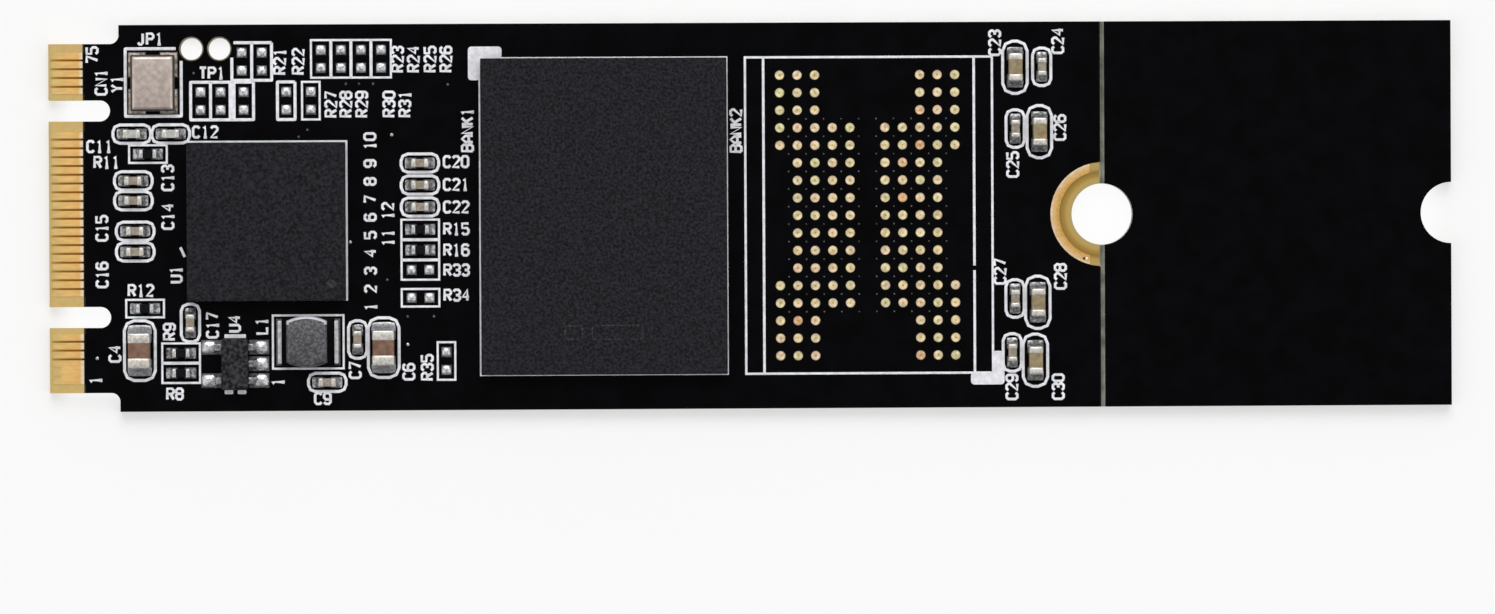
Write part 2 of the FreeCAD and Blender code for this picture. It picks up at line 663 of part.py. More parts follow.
def frame_face(x, y, along_x, along_y, radius):
    """Printed frame of one line's width, square or with round corners."""
    inner_x = along_x - 2 * LEGEND_LINE
    inner_y = along_y - 2 * LEGEND_LINE
    if radius:
        outer = rounded_rectangle(x, y, along_x, along_y, radius)
        return filled(outer, [rounded_rectangle(x, y, inner_x, inner_y, radius - LEGEND_LINE)])
    return filled(rectangle(x, y, along_x, along_y), [rectangle(x, y, inner_x, inner_y)])


def frame_sizes(size):
    """Length and width of the frame that clears a chip's lands."""
    ends = 2 * (size.reach + size.frame_gap + LEGEND_LINE)
    sides = 2 * (LAND_MARGIN + LEGEND_CLEARANCE + LEGEND_LINE)
    return size.length + ends, size.width + sides


def chip_frame(place, size, radius):
    """Frame round a chip, or round the lands of one that is not fitted."""
    along, across = frame_sizes(size)
    if place.upright:
        return frame_face(place.x, place.y, across, along, radius)
    return frame_face(place.x, place.y, along, across, radius)


def corner_mark(x, y, side):
    """Broad corner sign outside a memory package's first-ball corner. side is -1 left or 1 right."""
    reach = CORNER_MARK_REACH + CORNER_MARK_WIDTH
    middle = (CORNER_MARK_WIDTH - CORNER_MARK_REACH) / 2
    across = (x + side * middle, y - side * (CORNER_MARK_WIDTH / 2), reach, CORNER_MARK_WIDTH)
    down = (x + side * (CORNER_MARK_WIDTH / 2), y - side * middle, CORNER_MARK_WIDTH, reach)
    return [filled(rounded_rectangle(*arm, LEGEND_LINE)) for arm in (across, down)]


def line_mark(x, y, along_x, along_y):
    return filled(rectangle(x, y, along_x, along_y))


def legend_faces():
    """All the frames and marks, still apart from each other."""
    faces = [chip_frame(chip, chip.size, FRAME_RADIUS) for chip in CAPACITORS]
    faces += [chip_frame(chip, chip.size, 0) for chip in RESISTORS]
    faces += [chip_frame(site, RESISTOR, 0) for site in SPARE_SITES]
    length, width = frame_sizes(RESISTOR)
    faces.append(line_mark(STRIP_SITE.x - width / 2, STRIP_SITE.y, FILLED_STRIP, length))
    margin = 2 * (CRYSTAL_LAND_REACH + LEGEND_CLEARANCE + LEGEND_LINE)
    faces.append(frame_face(CRYSTAL_X, CRYSTAL_Y, CRYSTAL_WIDTH + margin, CRYSTAL_LENGTH + margin, 0))
    reveal = 2 * PACKAGE_REVEAL
    size = CONTROLLER_SIZE + reveal
    shift = CONTROLLER_FRAME_SHIFT
    faces.append(frame_face(CONTROLLER_X + shift, CONTROLLER_Y + shift, size, size, 0))
    for x in (FLASH_X, SITE_X):
        faces.append(frame_face(x, 0, FLASH_WIDTH + reveal, FLASH_LENGTH + reveal, 0))
    for side in (-1, 1):
        faces.append(line_mark(SITE_X + side * SITE_RAIL_SPACING / 2, 0, LEGEND_LINE, FLASH_LENGTH))
    faces += corner_mark(FLASH_X - FLASH_WIDTH / 2, FLASH_LENGTH / 2, -1)
    faces += corner_mark(SITE_X + FLASH_WIDTH / 2, -FLASH_LENGTH / 2, 1)
    margin = 2 * (TERMINAL_LAND_MARGIN + LEGEND_CLEARANCE + LEGEND_LINE)
    length = INDUCTOR_BASE_LENGTH + 2 * TERMINAL_WIDTH + margin
    faces.append(frame_face(INDUCTOR_X, INDUCTOR_Y, length, TERMINAL_LENGTH + margin, 0))
    upper = REGULATOR_Y + REGULATOR_LENGTH / 2 + TICK_WIDTH / 2
    lower = REGULATOR_Y - REGULATOR_LENGTH / 2 - TICK_WIDTH / 2
    faces.append(line_mark(REGULATOR_X, upper, TICK_SPACING + TICK_LENGTH, TICK_WIDTH))
    for side in (-1, 1):
        faces.append(line_mark(REGULATOR_X + side * TICK_SPACING / 2, lower, TICK_LENGTH, TICK_WIDTH))
    return faces


def legend_print():
    """Legend as joined strokes, kept clear of the jumper holes."""
    strokes = [plate(face, TOP, LEGEND_THICKNESS) for face in legend_faces()]
    clear = SLEEVE_DIAMETER + 2 * LEGEND_CLEARANCE
    holes = [plate(filled(circle(x, y, clear)), TOP, LEGEND_THICKNESS) for x, y in JUMPER_CENTRES]
    joined = strokes[0].multiFuse(strokes[1:])
    return joined.cut(Part.Compound(holes)).removeSplitter().Solids


# Packages with balls

def ball(x, y):
    """Solder ball set on the laminate, through the mask and up to the package."""
    return plate(filled(many_sided(x, y)), TOP - SKIN, SKIN + BALL_STANDOFF)


def save_package(name, x, y, along_x, along_y, mould, places):
    """Balls, substrate and mould cap of one package."""
    base = TOP + BALL_STANDOFF
    save(name + "_solder_balls", [ball(*place) for place in places])
    save(name + "_substrate", [block(x, y, base, along_x, along_y, SUBSTRATE)])
    save(name + "_mould_cap", [block(x, y, base + SUBSTRATE, along_x, along_y, mould)])


def main():
    os.makedirs("parts", exist_ok=True)
    chips = CAPACITORS + RESISTORS
    lands = [land for chip in chips for land in chip_lands(chip)]
    lands += crystal_lands() + regulator_lands() + inductor_lands()
    spares = [land for site in SPARE_SITES for land in spare_lands(site)]
    flash_places = flash_grid(FLASH_X, 0)
    site_places = flash_grid(SITE_X, 0)
    controller_places = controller_grid()

    openings = [rectangle(*land) for land in lands + spares]
    openings += [circle(x, y, FLASH_LAND_DIAMETER) for x, y in site_places]
    openings += [ball_window(flash_places), ball_window(controller_places)]

    save("board_laminate", laminate())
    save("solder_mask_top", solder_mask(TOP - SKIN, openings + JUMPER_OPENINGS))
    save("solder_mask_bottom", solder_mask(0, JUMPER_OPENINGS))
    save("edge_contacts_top", edge_contacts(0, TOP - SKIN, JOINED_CONTACTS))
    save("edge_contacts_bottom", edge_contacts(1, 0, 0))
    save("screw_ground_pad_top", [ground_arc(TOP - SKIN)])
    save("screw_ground_pad_bottom", [ground_arc(0)])
    save("jumper_hole_sleeves", [sleeve(x, y) for x, y in JUMPER_CENTRES])
    save("component_land_pads", [block(x, y, TOP - SKIN, dx, dy, SKIN) for x, y, dx, dy in lands])
    save("spare_component_pads", [block(x, y, TOP - SKIN, dx, dy, SKIN) for x, y, dx, dy in spares])
    discs = [filled(circle(x, y, FLASH_LAND_DIAMETER)) for x, y in site_places]
    save("flash_land_pads", [plate(disc, TOP - SKIN, SKIN) for disc in discs])
    save("legend_print", legend_print())

    size = CONTROLLER_SIZE
    save_package("controller", CONTROLLER_X, CONTROLLER_Y, size, size, CONTROLLER_MOULD, controller_places)
    save_package("flash", FLASH_X, 0, FLASH_WIDTH, FLASH_LENGTH, FLASH_MOULD, flash_places)

    save("crystal_base", [block(CRYSTAL_X, CRYSTAL_Y, TOP, CRYSTAL_WIDTH, CRYSTAL_LENGTH, CRYSTAL_BASE)])
    lid_width = CRYSTAL_WIDTH - 2 * CRYSTAL_RIM
    lid_length = CRYSTAL_LENGTH - 2 * CRYSTAL_RIM
    save("crystal_lid", [block(CRYSTAL_X, CRYSTAL_Y, TOP + CRYSTAL_BASE, lid_width, lid_length, CRYSTAL_LID)])

    base = TOP + REGULATOR_STANDOFF
    body = block(REGULATOR_X, REGULATOR_Y, base, REGULATOR_WIDTH, REGULATOR_LENGTH, REGULATOR_HEIGHT)
    save("regulator_body", [body])
    save("regulator_leads", [regulator_lead(side, y) for side, y in LEAD_PLACES])

    save("inductor_core", inductor_core())
    save("inductor_winding", [inductor_winding()])
    terminals = []
    for side in (-1, 1):
        x = INDUCTOR_X + side * TERMINAL_OFFSET
        terminals.append(block(x, INDUCTOR_Y, TOP, TERMINAL_WIDTH, TERMINAL_LENGTH, TERMINAL_HEIGHT))
    save("inductor_terminals", terminals)

    for chip in chips:
        save(chip.name, [placed(chip_body(chip.size), chip)])
    save("capacitor_end_caps", [placed(cap, chip) for chip in CAPACITORS for cap in chip_caps(chip.size)])
    save("resistor_end_caps", [placed(cap, chip) for chip in RESISTORS for cap in chip_caps(chip.size)])
    save("solder_fillets", [placed(wedge, chip) for chip in chips for wedge in chip_fillets(chip.size)])


main()
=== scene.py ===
# %% [markdown]
# A gumstick drive is a bare circuit card with its parts soldered to one face. The CAD solids give
# every piece its place and size. This lesson dresses them: it rounds edges, adds what soldering and
# printing leave behind, and gives each material the look that it has under soft studio light.

import math

import bmesh
import bpy
from mathutils import Matrix, Vector


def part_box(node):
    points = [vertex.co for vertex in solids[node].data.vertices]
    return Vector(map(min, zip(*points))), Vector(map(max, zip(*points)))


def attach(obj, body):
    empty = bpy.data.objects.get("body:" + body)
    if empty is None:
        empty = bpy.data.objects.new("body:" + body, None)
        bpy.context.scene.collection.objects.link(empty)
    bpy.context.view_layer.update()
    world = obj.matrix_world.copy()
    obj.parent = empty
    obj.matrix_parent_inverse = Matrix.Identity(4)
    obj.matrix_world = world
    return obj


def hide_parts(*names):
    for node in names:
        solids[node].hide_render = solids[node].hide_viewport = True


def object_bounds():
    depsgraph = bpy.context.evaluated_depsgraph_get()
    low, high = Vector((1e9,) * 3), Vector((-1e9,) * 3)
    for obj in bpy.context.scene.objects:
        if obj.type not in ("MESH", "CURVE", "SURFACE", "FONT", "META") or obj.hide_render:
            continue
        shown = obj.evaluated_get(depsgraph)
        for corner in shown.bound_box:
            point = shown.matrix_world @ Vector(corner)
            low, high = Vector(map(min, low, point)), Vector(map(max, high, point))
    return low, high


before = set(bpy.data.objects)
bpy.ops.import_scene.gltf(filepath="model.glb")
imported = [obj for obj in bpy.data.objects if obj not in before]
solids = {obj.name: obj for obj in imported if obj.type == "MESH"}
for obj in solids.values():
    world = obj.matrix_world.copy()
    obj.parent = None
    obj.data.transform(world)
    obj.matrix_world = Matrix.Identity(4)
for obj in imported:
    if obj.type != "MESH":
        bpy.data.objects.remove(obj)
cad_low, cad_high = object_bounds()
MM = 0.001
print("solids:", len(solids), "box in mm:", [round(v / MM, 2) for v in (*cad_low, *cad_high)])

# %% [markdown]
# Most of the small pieces are copies of a few shapes, so their places are read from the solids.
# A node may hold many separate solids, such as the lands under all the parts. Merging the loose
# triangles of a copy lets a walk along its edges find each one, and its box is all that is needed.

# %% Boxes of a node's separate solids
SAME_POINT = 0.0005   # corners nearer than this, in mm, are one


def separate_boxes(node):
    """Lowest and highest corner, in mm, of each solid in a node."""
    copy = bmesh.new()
    copy.from_mesh(solids[node].data)
    bmesh.ops.remove_doubles(copy, verts=copy.verts, dist=SAME_POINT * MM)
    boxes = []
    met = set()
    for first in copy.verts:
        if first in met:
            continue
        met.add(first)
        group = [first]
        for vert in group:
            for edge in vert.link_edges:
                other = edge.other_vert(vert)
                if other not in met:
                    met.add(other)
                    group.append(other)
        low = Vector(min(vert.co[axis] for vert in group) / MM for axis in range(3))
        high = Vector(max(vert.co[axis] for vert in group) / MM for axis in range(3))
        boxes.append((low, high))
    copy.free()
    return boxes


def box_mm(node):
    """Lowest and highest corner of a whole node, in mm."""
    low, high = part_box(node)
    return low / MM, high / MM


CARD_TOP = box_mm("legend_print")[0].z
SCREW = Vector((20.0, 0.0))
print("lands:", len(separate_boxes("component_land_pads")), "card top at", round(CARD_TOP, 3))

# %% [markdown]
# The photograph looks almost straight down on the card through a long lens. A camera 400 mm up
# with a lens of about 169 mm on a 36 mm sensor puts the corners, holes and packages where the
# photograph has them, and a small tilt takes up the rest.

# %% Camera
lens = bpy.data.cameras.new("camera")
lens.sensor_width = 36.0
lens.lens = 168.628
lens.clip_start = 0.01
lens.clip_end = 20.0
camera = bpy.data.objects.new("camera", lens)
camera.location = Vector((-11.767, -1.264, 400.0)) * MM
camera.rotation_euler = [math.radians(angle) for angle in (-0.5582, -1.6503, -0.2685)]
bpy.context.scene.collection.objects.link(camera)
bpy.context.scene.camera = camera
bpy.context.scene.view_settings.view_transform = "Standard"
print("camera", [round(v / MM, 1) for v in camera.location])

# %% [markdown]
# Colours are written as sRGB hex values, as a colour picker shows them. A shader counts in linear
# light, so one function turns them round. A second one sets a node's inputs, and a third adds a
# node, sets it up and links it. With these every material below is a short recipe.

# %% Colour and node helpers
def linear(hexadecimal):
    """Linear RGBA of an sRGB hex colour."""
    parts = [int(hexadecimal[place:place + 2], 16) / 255 for place in (1, 3, 5)]
    return (*[part / 12.92 if part <= 0.04045 else ((part + 0.055) / 1.055) ** 2.4 for part in parts], 1.0)


def feed(node, sockets):
    """Gives inputs a plain value, a hex colour, or a link from an output or a node's first one in use."""
    for name, value in sockets.items():
        if isinstance(value, bpy.types.Node):
            value = next(output for output in value.outputs if output.enabled)
        if isinstance(value, bpy.types.NodeSocket):
            node.id_data.links.new(value, node.inputs[name])
        else:
            node.inputs[name].default_value = linear(value) if isinstance(value, str) else value


def add_node(tree, kind, sockets=None, stops=(), **settings):
    """Adds a node with its settings and links. A colour ramp also takes stops, from first to last."""
    node = tree.nodes.new(kind)
    for name, value in settings.items():
        setattr(node, name, value)
    feed(node, sockets or {})
    if stops:
        ramp = node.color_ramp.elements
        ramp[0].position = stops[0][0]
        ramp[1].position = stops[-1][0]
        for position, _ in stops[1:-1]:
            ramp.new(position)
        for mark, (_, colour) in zip(ramp, stops):
            mark.color = linear(colour)
    return node


def start_material(name, sockets):
    """A material with its shader's plain values. Gives it, its tree, its shader and Object coordinates."""
    material = bpy.data.materials.new(name)
    material.use_nodes = True
    tree = material.node_tree
    shader = tree.nodes["Principled BSDF"]
    feed(shader, sockets)
    return material, tree, shader, add_node(tree, "ShaderNodeTexCoord").outputs["Object"]


print("white in linear light:", linear("#ffffff"))

# %% [markdown]
# Many surfaces here have one colour that wanders a little, as a casting, a print or a plated face
# does. One recipe serves them: a noise, as coarse as the patches are in millimetres, blends a
# darker and a lighter colour, and the same noise can raise a shallow relief.

# %% A recipe for surfaces that wander between two colours
def patchy(tree, place, patch, detail=2.0, low=0.35, high=0.65, least=0.0, most=1.0):
    """Noise in patches of so many mm. Gives it raw, and with low to high spread over least to most."""
    noise = add_node(tree, "ShaderNodeTexNoise", {
        "Vector": place, "Scale": 1 / (patch * MM), "Detail": detail})
    return noise, add_node(tree, "ShaderNodeMapRange", {
        "Value": noise, "From Min": low, "From Max": high, "To Min": least, "To Max": most})


def mottled(name, dark, light, patch, sockets, relief=0.0, detail=2.0, low=0.35, high=0.65):
    """Blends two hex colours in patches of so many mm. The relief is in mm too."""
    material, tree, shader, place = start_material(name, sockets)
    noise, spread = patchy(tree, place, patch, detail, low, high)
    blend = add_node(tree, "ShaderNodeMix", {0: spread, 6: dark, 7: light}, data_type="RGBA")
    feed(shader, {"Base Color": blend})
    if relief:
        bump = add_node(tree, "ShaderNodeBump", {"Height": noise, "Distance": relief * MM})
        feed(shader, {"Normal": bump})
    return material


def dress(node, material, rounding=0.0):
    """Gives a solid its material and, if asked, rounds its sharp edges by so many mm."""
    solid = solids[node]
    solid.data.materials.clear()
    solid.data.materials.append(material)
    if rounding:
        weld = solid.modifiers.new("weld", "WELD")
        weld.merge_threshold = SAME_POINT * MM
        bevel = solid.modifiers.new("rounding", "BEVEL")
        bevel.width = rounding * MM
        bevel.segments = 3
        bevel.limit_method = "ANGLE"
        bevel.angle_limit = math.radians(35)


print("helpers ready")

# %% [markdown]
# The studio is a pale floor under three wide soft lamps. Sun lamps with a wide angle act like
# large softboxes that are far away, so the light is even over the whole card. The strongest
# stands behind the card's long upper side, and the surroundings are brighter on that side too, so
# that every metal slope shows which way it faces. The floor glows a little for the camera, which
# keeps it pale without more light on the card, and still takes the shadow. Under the card, where
# only the holes and slots show it, it glows more: painted light that takes the card's shadow away there.

# %% Floor, matt studio paper: an even near-white that takes a soft shadow
GLOW = 0.45
# Painted light: under the card the floor glows more, so the card's shadow does not show in its holes and
# slots.
GLOW_UNDER_CARD = 0.93
FADE_INSIDE = 1.5    # the stronger glow fades from here, in mm inside the card's sides
FADE_OUTSIDE = 0.3   # to here, outside them
FLOOR_SIZE = 6.0     # metres
FLOOR_DROP = 0.02    # mm below the card, so that the two faces do not flicker
bpy.ops.mesh.primitive_plane_add(size=FLOOR_SIZE, location=(0, 0, -FLOOR_DROP * MM))
floor = bpy.context.object
floor.name = "floor"
paper, tree, shader, place = start_material("studio_paper", {"Roughness": 0.9, "Base Color": "#fbfbfb"})
axes = add_node(tree, "ShaderNodeSeparateXYZ", {"Vector": place})
covered = 1.0
for axis, half in (("X", cad_high.x), ("Y", cad_high.y)):
    off = add_node(tree, "ShaderNodeMath", {0: axes.outputs[axis]}, operation="ABSOLUTE")
    within = add_node(tree, "ShaderNodeMapRange", {
        "Value": off, "From Min": half - FADE_INSIDE * MM, "From Max": half + FADE_OUTSIDE * MM,
        "To Min": 1.0, "To Max": 0.0}, interpolation_type="SMOOTHSTEP")
    covered = add_node(tree, "ShaderNodeMath", {0: covered, 1: within}, operation="MULTIPLY")
level = add_node(tree, "ShaderNodeMapRange", {"Value": covered, "To Min": GLOW, "To Max": GLOW_UNDER_CARD})
rays = add_node(tree, "ShaderNodeLightPath")
seen = 0.0
for kind in ("Is Camera Ray", "Is Glossy Ray", "Is Transmission Ray"):
    seen = add_node(tree, "ShaderNodeMath", {0: seen, 1: rays.outputs[kind]}, operation="MAXIMUM")
share = add_node(tree, "ShaderNodeMath", {0: seen, 1: level}, operation="MULTIPLY")
glow = add_node(tree, "ShaderNodeEmission", {"Color": "#ffffff", "Strength": 1.0})
both = add_node(tree, "ShaderNodeMixShader", {0: share, 1: shader, 2: glow})
feed(tree.nodes["Material Output"], {"Surface": both})
floor.data.materials.append(paper)
print("floor", floor.name)

# %% Lamps and surroundings
AIR_NEAR = 0.15   # strength of the surroundings on the card's near side
AIR_FAR = 0.75
# Turn, height and width are in degrees.
for name, turn, height, strength, width in (
        ("key", 0, 50, 1.25, 40), ("side_left", 110, 42, 0.45, 50), ("side_right", 250, 42, 0.45, 50)):
    light = bpy.data.lights.new(name, "SUN")
    light.energy = strength
    light.angle = math.radians(width)
    lamp = bpy.data.objects.new(name, light)
    # A sun lamp shines along its own -Z, so tipping it about X and turning it about Z aims it.
    lamp.rotation_euler = (math.radians(height - 90), 0, math.radians(turn))
    bpy.context.scene.collection.objects.link(lamp)

world = bpy.data.worlds.new("studio")
world.use_nodes = True
bpy.context.scene.world = world
air = world.node_tree
aim = add_node(air, "ShaderNodeTexCoord")
axes = add_node(air, "ShaderNodeSeparateXYZ", {"Vector": aim.outputs["Generated"]})
rise = add_node(air, "ShaderNodeMapRange", {"Value": axes.outputs["Y"], "From Min": -1.0, "From Max": 1.0,
                                            "To Min": AIR_NEAR, "To Max": AIR_FAR})
feed(air.nodes["Background"], {"Strength": rise, "Color": "#ffffff"})

# %% [markdown]
# The card's core is woven glass in epoxy. It shows at the card's edges, in the connector tab, in
# the score across the card and beside the screw hole. A material can know where it is from Object
# coordinates, which are metres in the card's own frame. So the regions are painted one over the
# other: a ring round the screw hole that runs from a pale olive to a brown groove at the copper,
# a strip of lacquer black a tenth of a millimetre wide along the score's side towards the
# connector, outside the ring, the black lacquer that has run over the tab, and the warm bare resin
# of the tab itself.

# %% Laminate, routed glass epoxy: a dull olive gold with the weave showing at cut edges
LACQUER = "#060609"
RING_INNER = 1.7                # mm from the screw hole's middle
RING_OUTER = 3.0
RING_END = 3.1
SCORE_SIDE = SCREW.x - 0.16     # the ring stops at the score
SCORE_STRIP_MIDDLE = SCORE_SIDE + 0.03
SCORE_STRIP_HALF = 0.055
TAB = 2.1                       # mm from the front edge to past the mask's edge
BARE_TAB = 1.95


def away_from_screw(tree, place):
    """Distance from the screw hole's middle in mm, on either face."""
    flat = add_node(tree, "ShaderNodeVectorMath", {0: place, 1: (1.0, 1.0, 0.0)}, operation="MULTIPLY")
    middle = (SCREW.x * MM, SCREW.y * MM, 0.0)
    away = add_node(tree, "ShaderNodeVectorMath", {0: flat, 1: middle}, operation="DISTANCE")
    return add_node(tree, "ShaderNodeMath", {0: away, 1: MM}, operation="DIVIDE")


laminate, tree, shader, place = start_material("glass_epoxy_routed", {"Roughness": 0.55})
along = add_node(tree, "ShaderNodeSeparateXYZ", {"Vector": place}).outputs["X"]
away = away_from_screw(tree, place)
_, spread = patchy(tree, place, 0.9)
plain = add_node(tree, "ShaderNodeMix", {0: spread, 6: "#74756a", 7: "#a3a397"}, data_type="RGBA")

outward = add_node(tree, "ShaderNodeMapRange", {
    "Value": away, "From Min": RING_INNER, "From Max": RING_OUTER})
ring = add_node(tree, "ShaderNodeValToRGB", {"Fac": outward}, stops=(
    (0.0, "#b09c64"), (0.24, "#b8984e"), (0.36, "#a5822f"), (0.55, "#8c6c1e"), (0.68, "#b09248"),
    (1.0, "#b69c58")))
near = add_node(tree, "ShaderNodeMath", {0: away, 1: RING_END}, operation="LESS_THAN")
before = add_node(tree, "ShaderNodeMath", {0: along, 1: SCORE_SIDE * MM}, operation="LESS_THAN")
ringed = add_node(tree, "ShaderNodeMath", {0: near, 1: before}, operation="MULTIPLY")

# A strip of lacquer black along the score's side towards the connector, outside the ring.
in_score_strip = add_node(tree, "ShaderNodeMath", {0: along, 1: SCORE_STRIP_MIDDLE * MM, 2: SCORE_STRIP_HALF * MM},
                  operation="COMPARE")
far = add_node(tree, "ShaderNodeMath", {0: away, 1: RING_OUTER}, operation="GREATER_THAN")
score_strip = add_node(tree, "ShaderNodeMath", {0: in_score_strip, 1: far}, operation="MULTIPLY")

lipped = add_node(tree, "ShaderNodeMath", {0: along, 1: cad_low.x + TAB * MM}, operation="LESS_THAN")
front = add_node(tree, "ShaderNodeMath", {0: along, 1: cad_low.x + BARE_TAB * MM}, operation="LESS_THAN")
noise = add_node(tree, "ShaderNodeTexNoise", {"Vector": place, "Scale": 1 / (0.25 * MM), "Detail": 3.0})
resin = add_node(tree, "ShaderNodeMix", {0: noise, 6: "#c4a35a", 7: "#d3b776"}, data_type="RGBA")

colour = plain
for where, paint in ((ringed, ring), (score_strip, LACQUER), (lipped, LACQUER), (front, resin)):
    colour = add_node(tree, "ShaderNodeMix", {0: where, 6: colour, 7: paint}, data_type="RGBA")
feed(shader, {"Base Color": colour})
dress("board_laminate", laminate)
print("laminate dressed")

# %% [markdown]
# Solder mask is a black lacquer a few hundredths of a millimetre thick. It lies over copper
# tracks, so its surface is not quite flat. A weak specular level keeps it near black, and a slow
# shallow relief breaks the reflections up.

# %% Solder mask, cured black lacquer: nearly black with a soft sheen
mask = mottled("solder_mask_black_lacquer", "#030304", LACQUER, 1.2,
               {"Roughness": 0.3, "Specular IOR Level": 0.04}, relief=0.004, detail=3.0)
for node in ("solder_mask_top", "solder_mask_bottom"):
    dress(node, mask)
print("mask dressed")

# %% [markdown]
# The fingers of the edge connector are copper under hard gold. Their fronts are scuffed paler by
# the socket and the last fifth of a millimetre is a bright strip beside the lip of black lacquer,
# so the colour runs along the card. The brush of the plating bath is too fine to see and is drawn
# as soft streaks.

# %% Gold on the fingers, plated and worn: amber with a paler front
LIP = BARE_TAB / TAB
finger_gold, tree, shader, place = start_material("hard_gold_plated", {"Metallic": 0.9, "Roughness": 0.5})
along = add_node(tree, "ShaderNodeSeparateXYZ", {"Vector": place}).outputs["X"]
back = add_node(tree, "ShaderNodeMapRange", {
    "Value": along, "From Min": cad_low.x, "From Max": cad_low.x + TAB * MM})
run = add_node(tree, "ShaderNodeValToRGB", {"Fac": back}, stops=(
    (0.08, "#e3c88a"), (0.3, "#f2cc82"), (0.6, "#fbcb80"), (0.81, "#f6c577"), (0.87, "#fde4c2"),
    (LIP - 0.01, "#ffe9c8"), (LIP + 0.01, LACQUER), (1.0, LACQUER)))
streak = add_node(tree, "ShaderNodeMapping", {"Vector": place, "Scale": (0.3, 1.0, 1.0)})
_, worn = patchy(tree, streak, 0.2, low=0.3, high=0.7, least=0.82)
gold = add_node(tree, "ShaderNodeMix", {0: 1.0, 6: run, 7: worn}, data_type="RGBA", blend_type="MULTIPLY")
feed(shader, {"Base Color": gold})
for node in ("edge_contacts_top", "edge_contacts_bottom"):
    dress(node, finger_gold)
print("fingers dressed")

# %% [markdown]
# The empty memory site shows its lands, thin discs of gold over nickel. No two take the light the
# same way. The discs stand on a millimetre grid, so the whole-number part of the coordinate names
# a disc and picks its tint, and the rest is the way from its middle, which shades its centre and
# rim. Paste that was wiped off has left each disc a little brighter on one side.

# %% Gold on the lands, immersion plated: pale, each disc a little different
LAND_PITCH = 1.0
site_low, site_high = box_mm("flash_land_pads")
site_middle = (site_low + site_high) / 2
land_gold, tree, shader, place = start_material("immersion_gold_plated", {"Metallic": 0.85, "Roughness": 0.5})
grid_start = [(v - 0.5 * LAND_PITCH) * MM for v in site_middle]
steps = add_node(tree, "ShaderNodeVectorMath", {0: place, 1: grid_start}, operation="SUBTRACT")
per_step = 1 / (LAND_PITCH * MM)
flat = add_node(tree, "ShaderNodeVectorMath", {0: steps, 1: (per_step, per_step, 0.0)}, operation="MULTIPLY")
which = add_node(tree, "ShaderNodeVectorMath", {0: flat}, operation="FLOOR")
chance = add_node(tree, "ShaderNodeTexWhiteNoise", {"Vector": which})
tint = add_node(tree, "ShaderNodeValToRGB", {"Fac": chance}, stops=(
    (0.0, "#f4e4ba"), (0.25, "#f7ecca"), (0.5, "#f6e0c4"), (0.72, "#ebe9bc"), (0.9, "#f6e6cc"),
    (0.955, "#f4c9a0"), (1.0, "#fbf3dc")))
part = add_node(tree, "ShaderNodeVectorMath", {0: flat}, operation="FRACTION")
way = add_node(tree, "ShaderNodeVectorMath", {0: part, 1: (0.5, 0.5, 0.0)}, operation="DISTANCE")
# From the middle outwards: the painted shade of a dimple, a ring of painted highlight, and the rim painted in
# the shade of the mask.
dish_light_and_shade = add_node(tree, "ShaderNodeValToRGB", {"Fac": way}, stops=(
    (0.03, "#e4cc98"), (0.12, "#ffffff"), (0.22, "#fff8ea"), (0.29, "#2e1c08")))
_, smear = patchy(tree, place, 0.24, 1.0, least=0.72, most=1.1)
gold = tint
for shade in (dish_light_and_shade, smear):
    gold = add_node(tree, "ShaderNodeMix", {0: 1.0, 6: gold, 7: shade},
                    data_type="RGBA", blend_type="MULTIPLY")
feed(shader, {"Base Color": gold})
dress("flash_land_pads", land_gold)
print("site middle", [round(v, 2) for v in site_middle])

# %% [markdown]
# Beside the screw hole a crescent of bare copper is gilded. Screw heads have worn it in bands. A
# ramp over the distance from the hole gives the bands, and noise moves them in and out a little, so
# that they do not look turned on a lathe.

# %% Copper arc, gilded and worn: amber bands, paler outwards, with fine scuffs
ARC_INNER = 2.5   # mm from the screw hole's middle
ARC_OUTER = 3.12
WAVER = 0.3       # mm that the bands move at most
arc_gold, tree, shader, place = start_material("ground_copper_gilded", {"Metallic": 0.9, "Roughness": 0.45})
noise = add_node(tree, "ShaderNodeTexNoise", {"Vector": place, "Scale": 1 / (0.5 * MM), "Detail": 2.0})
away = away_from_screw(tree, place)
waver = add_node(tree, "ShaderNodeMath", {0: noise, 1: WAVER, 2: away}, operation="MULTIPLY_ADD")
band = add_node(tree, "ShaderNodeMapRange", {"Value": waver, "From Min": ARC_INNER, "From Max": ARC_OUTER})
worn = add_node(tree, "ShaderNodeValToRGB", {"Fac": band}, stops=(
    (0.0, "#cfa254"), (0.3, "#e3b060"), (0.55, "#ecc07c"), (0.78, "#f0cb98"), (1.0, "#fbe6c6")))
_, scuff = patchy(tree, place, 0.14, least=0.88, most=1.05)
gold = add_node(tree, "ShaderNodeMix", {0: 1.0, 6: worn, 7: scuff}, data_type="RGBA", blend_type="MULTIPLY")
feed(shader, {"Base Color": gold})
for node in ("screw_ground_pad_top", "screw_ground_pad_bottom"):
    dress(node, arc_gold)
print("arc dressed")

# %% [markdown]
# The rest of the bare metal and the print on the card need only the simple recipe: the plated
# sleeves of the two jumper holes, the tinned lands and the white ink.

# %% Sleeves, tinned lands and white ink
# Plating in the shade of a hole looks like dull brass.
sleeve = mottled("sleeve_plating_tinned", "#6b6250", "#8a7f68", 0.3, {"Metallic": 0.8, "Roughness": 0.45})
# Tin that was levelled by hot air is bright and a little lumpy. On the lands it is painted half as bright:
# painted shade, as flat tin shows when it mirrors the dark room above.
tin = mottled("tin_levelled_hot_air", "#a9a9ac", "#dcdcdc", 0.16, {"Metallic": 0.95, "Roughness": 0.34},
              relief=0.012)
shaded_land_tin = mottled("tin_painted_shade", "#4c4c4f", "#77777a", 0.16, {"Metallic": 0.9, "Roughness": 0.45})
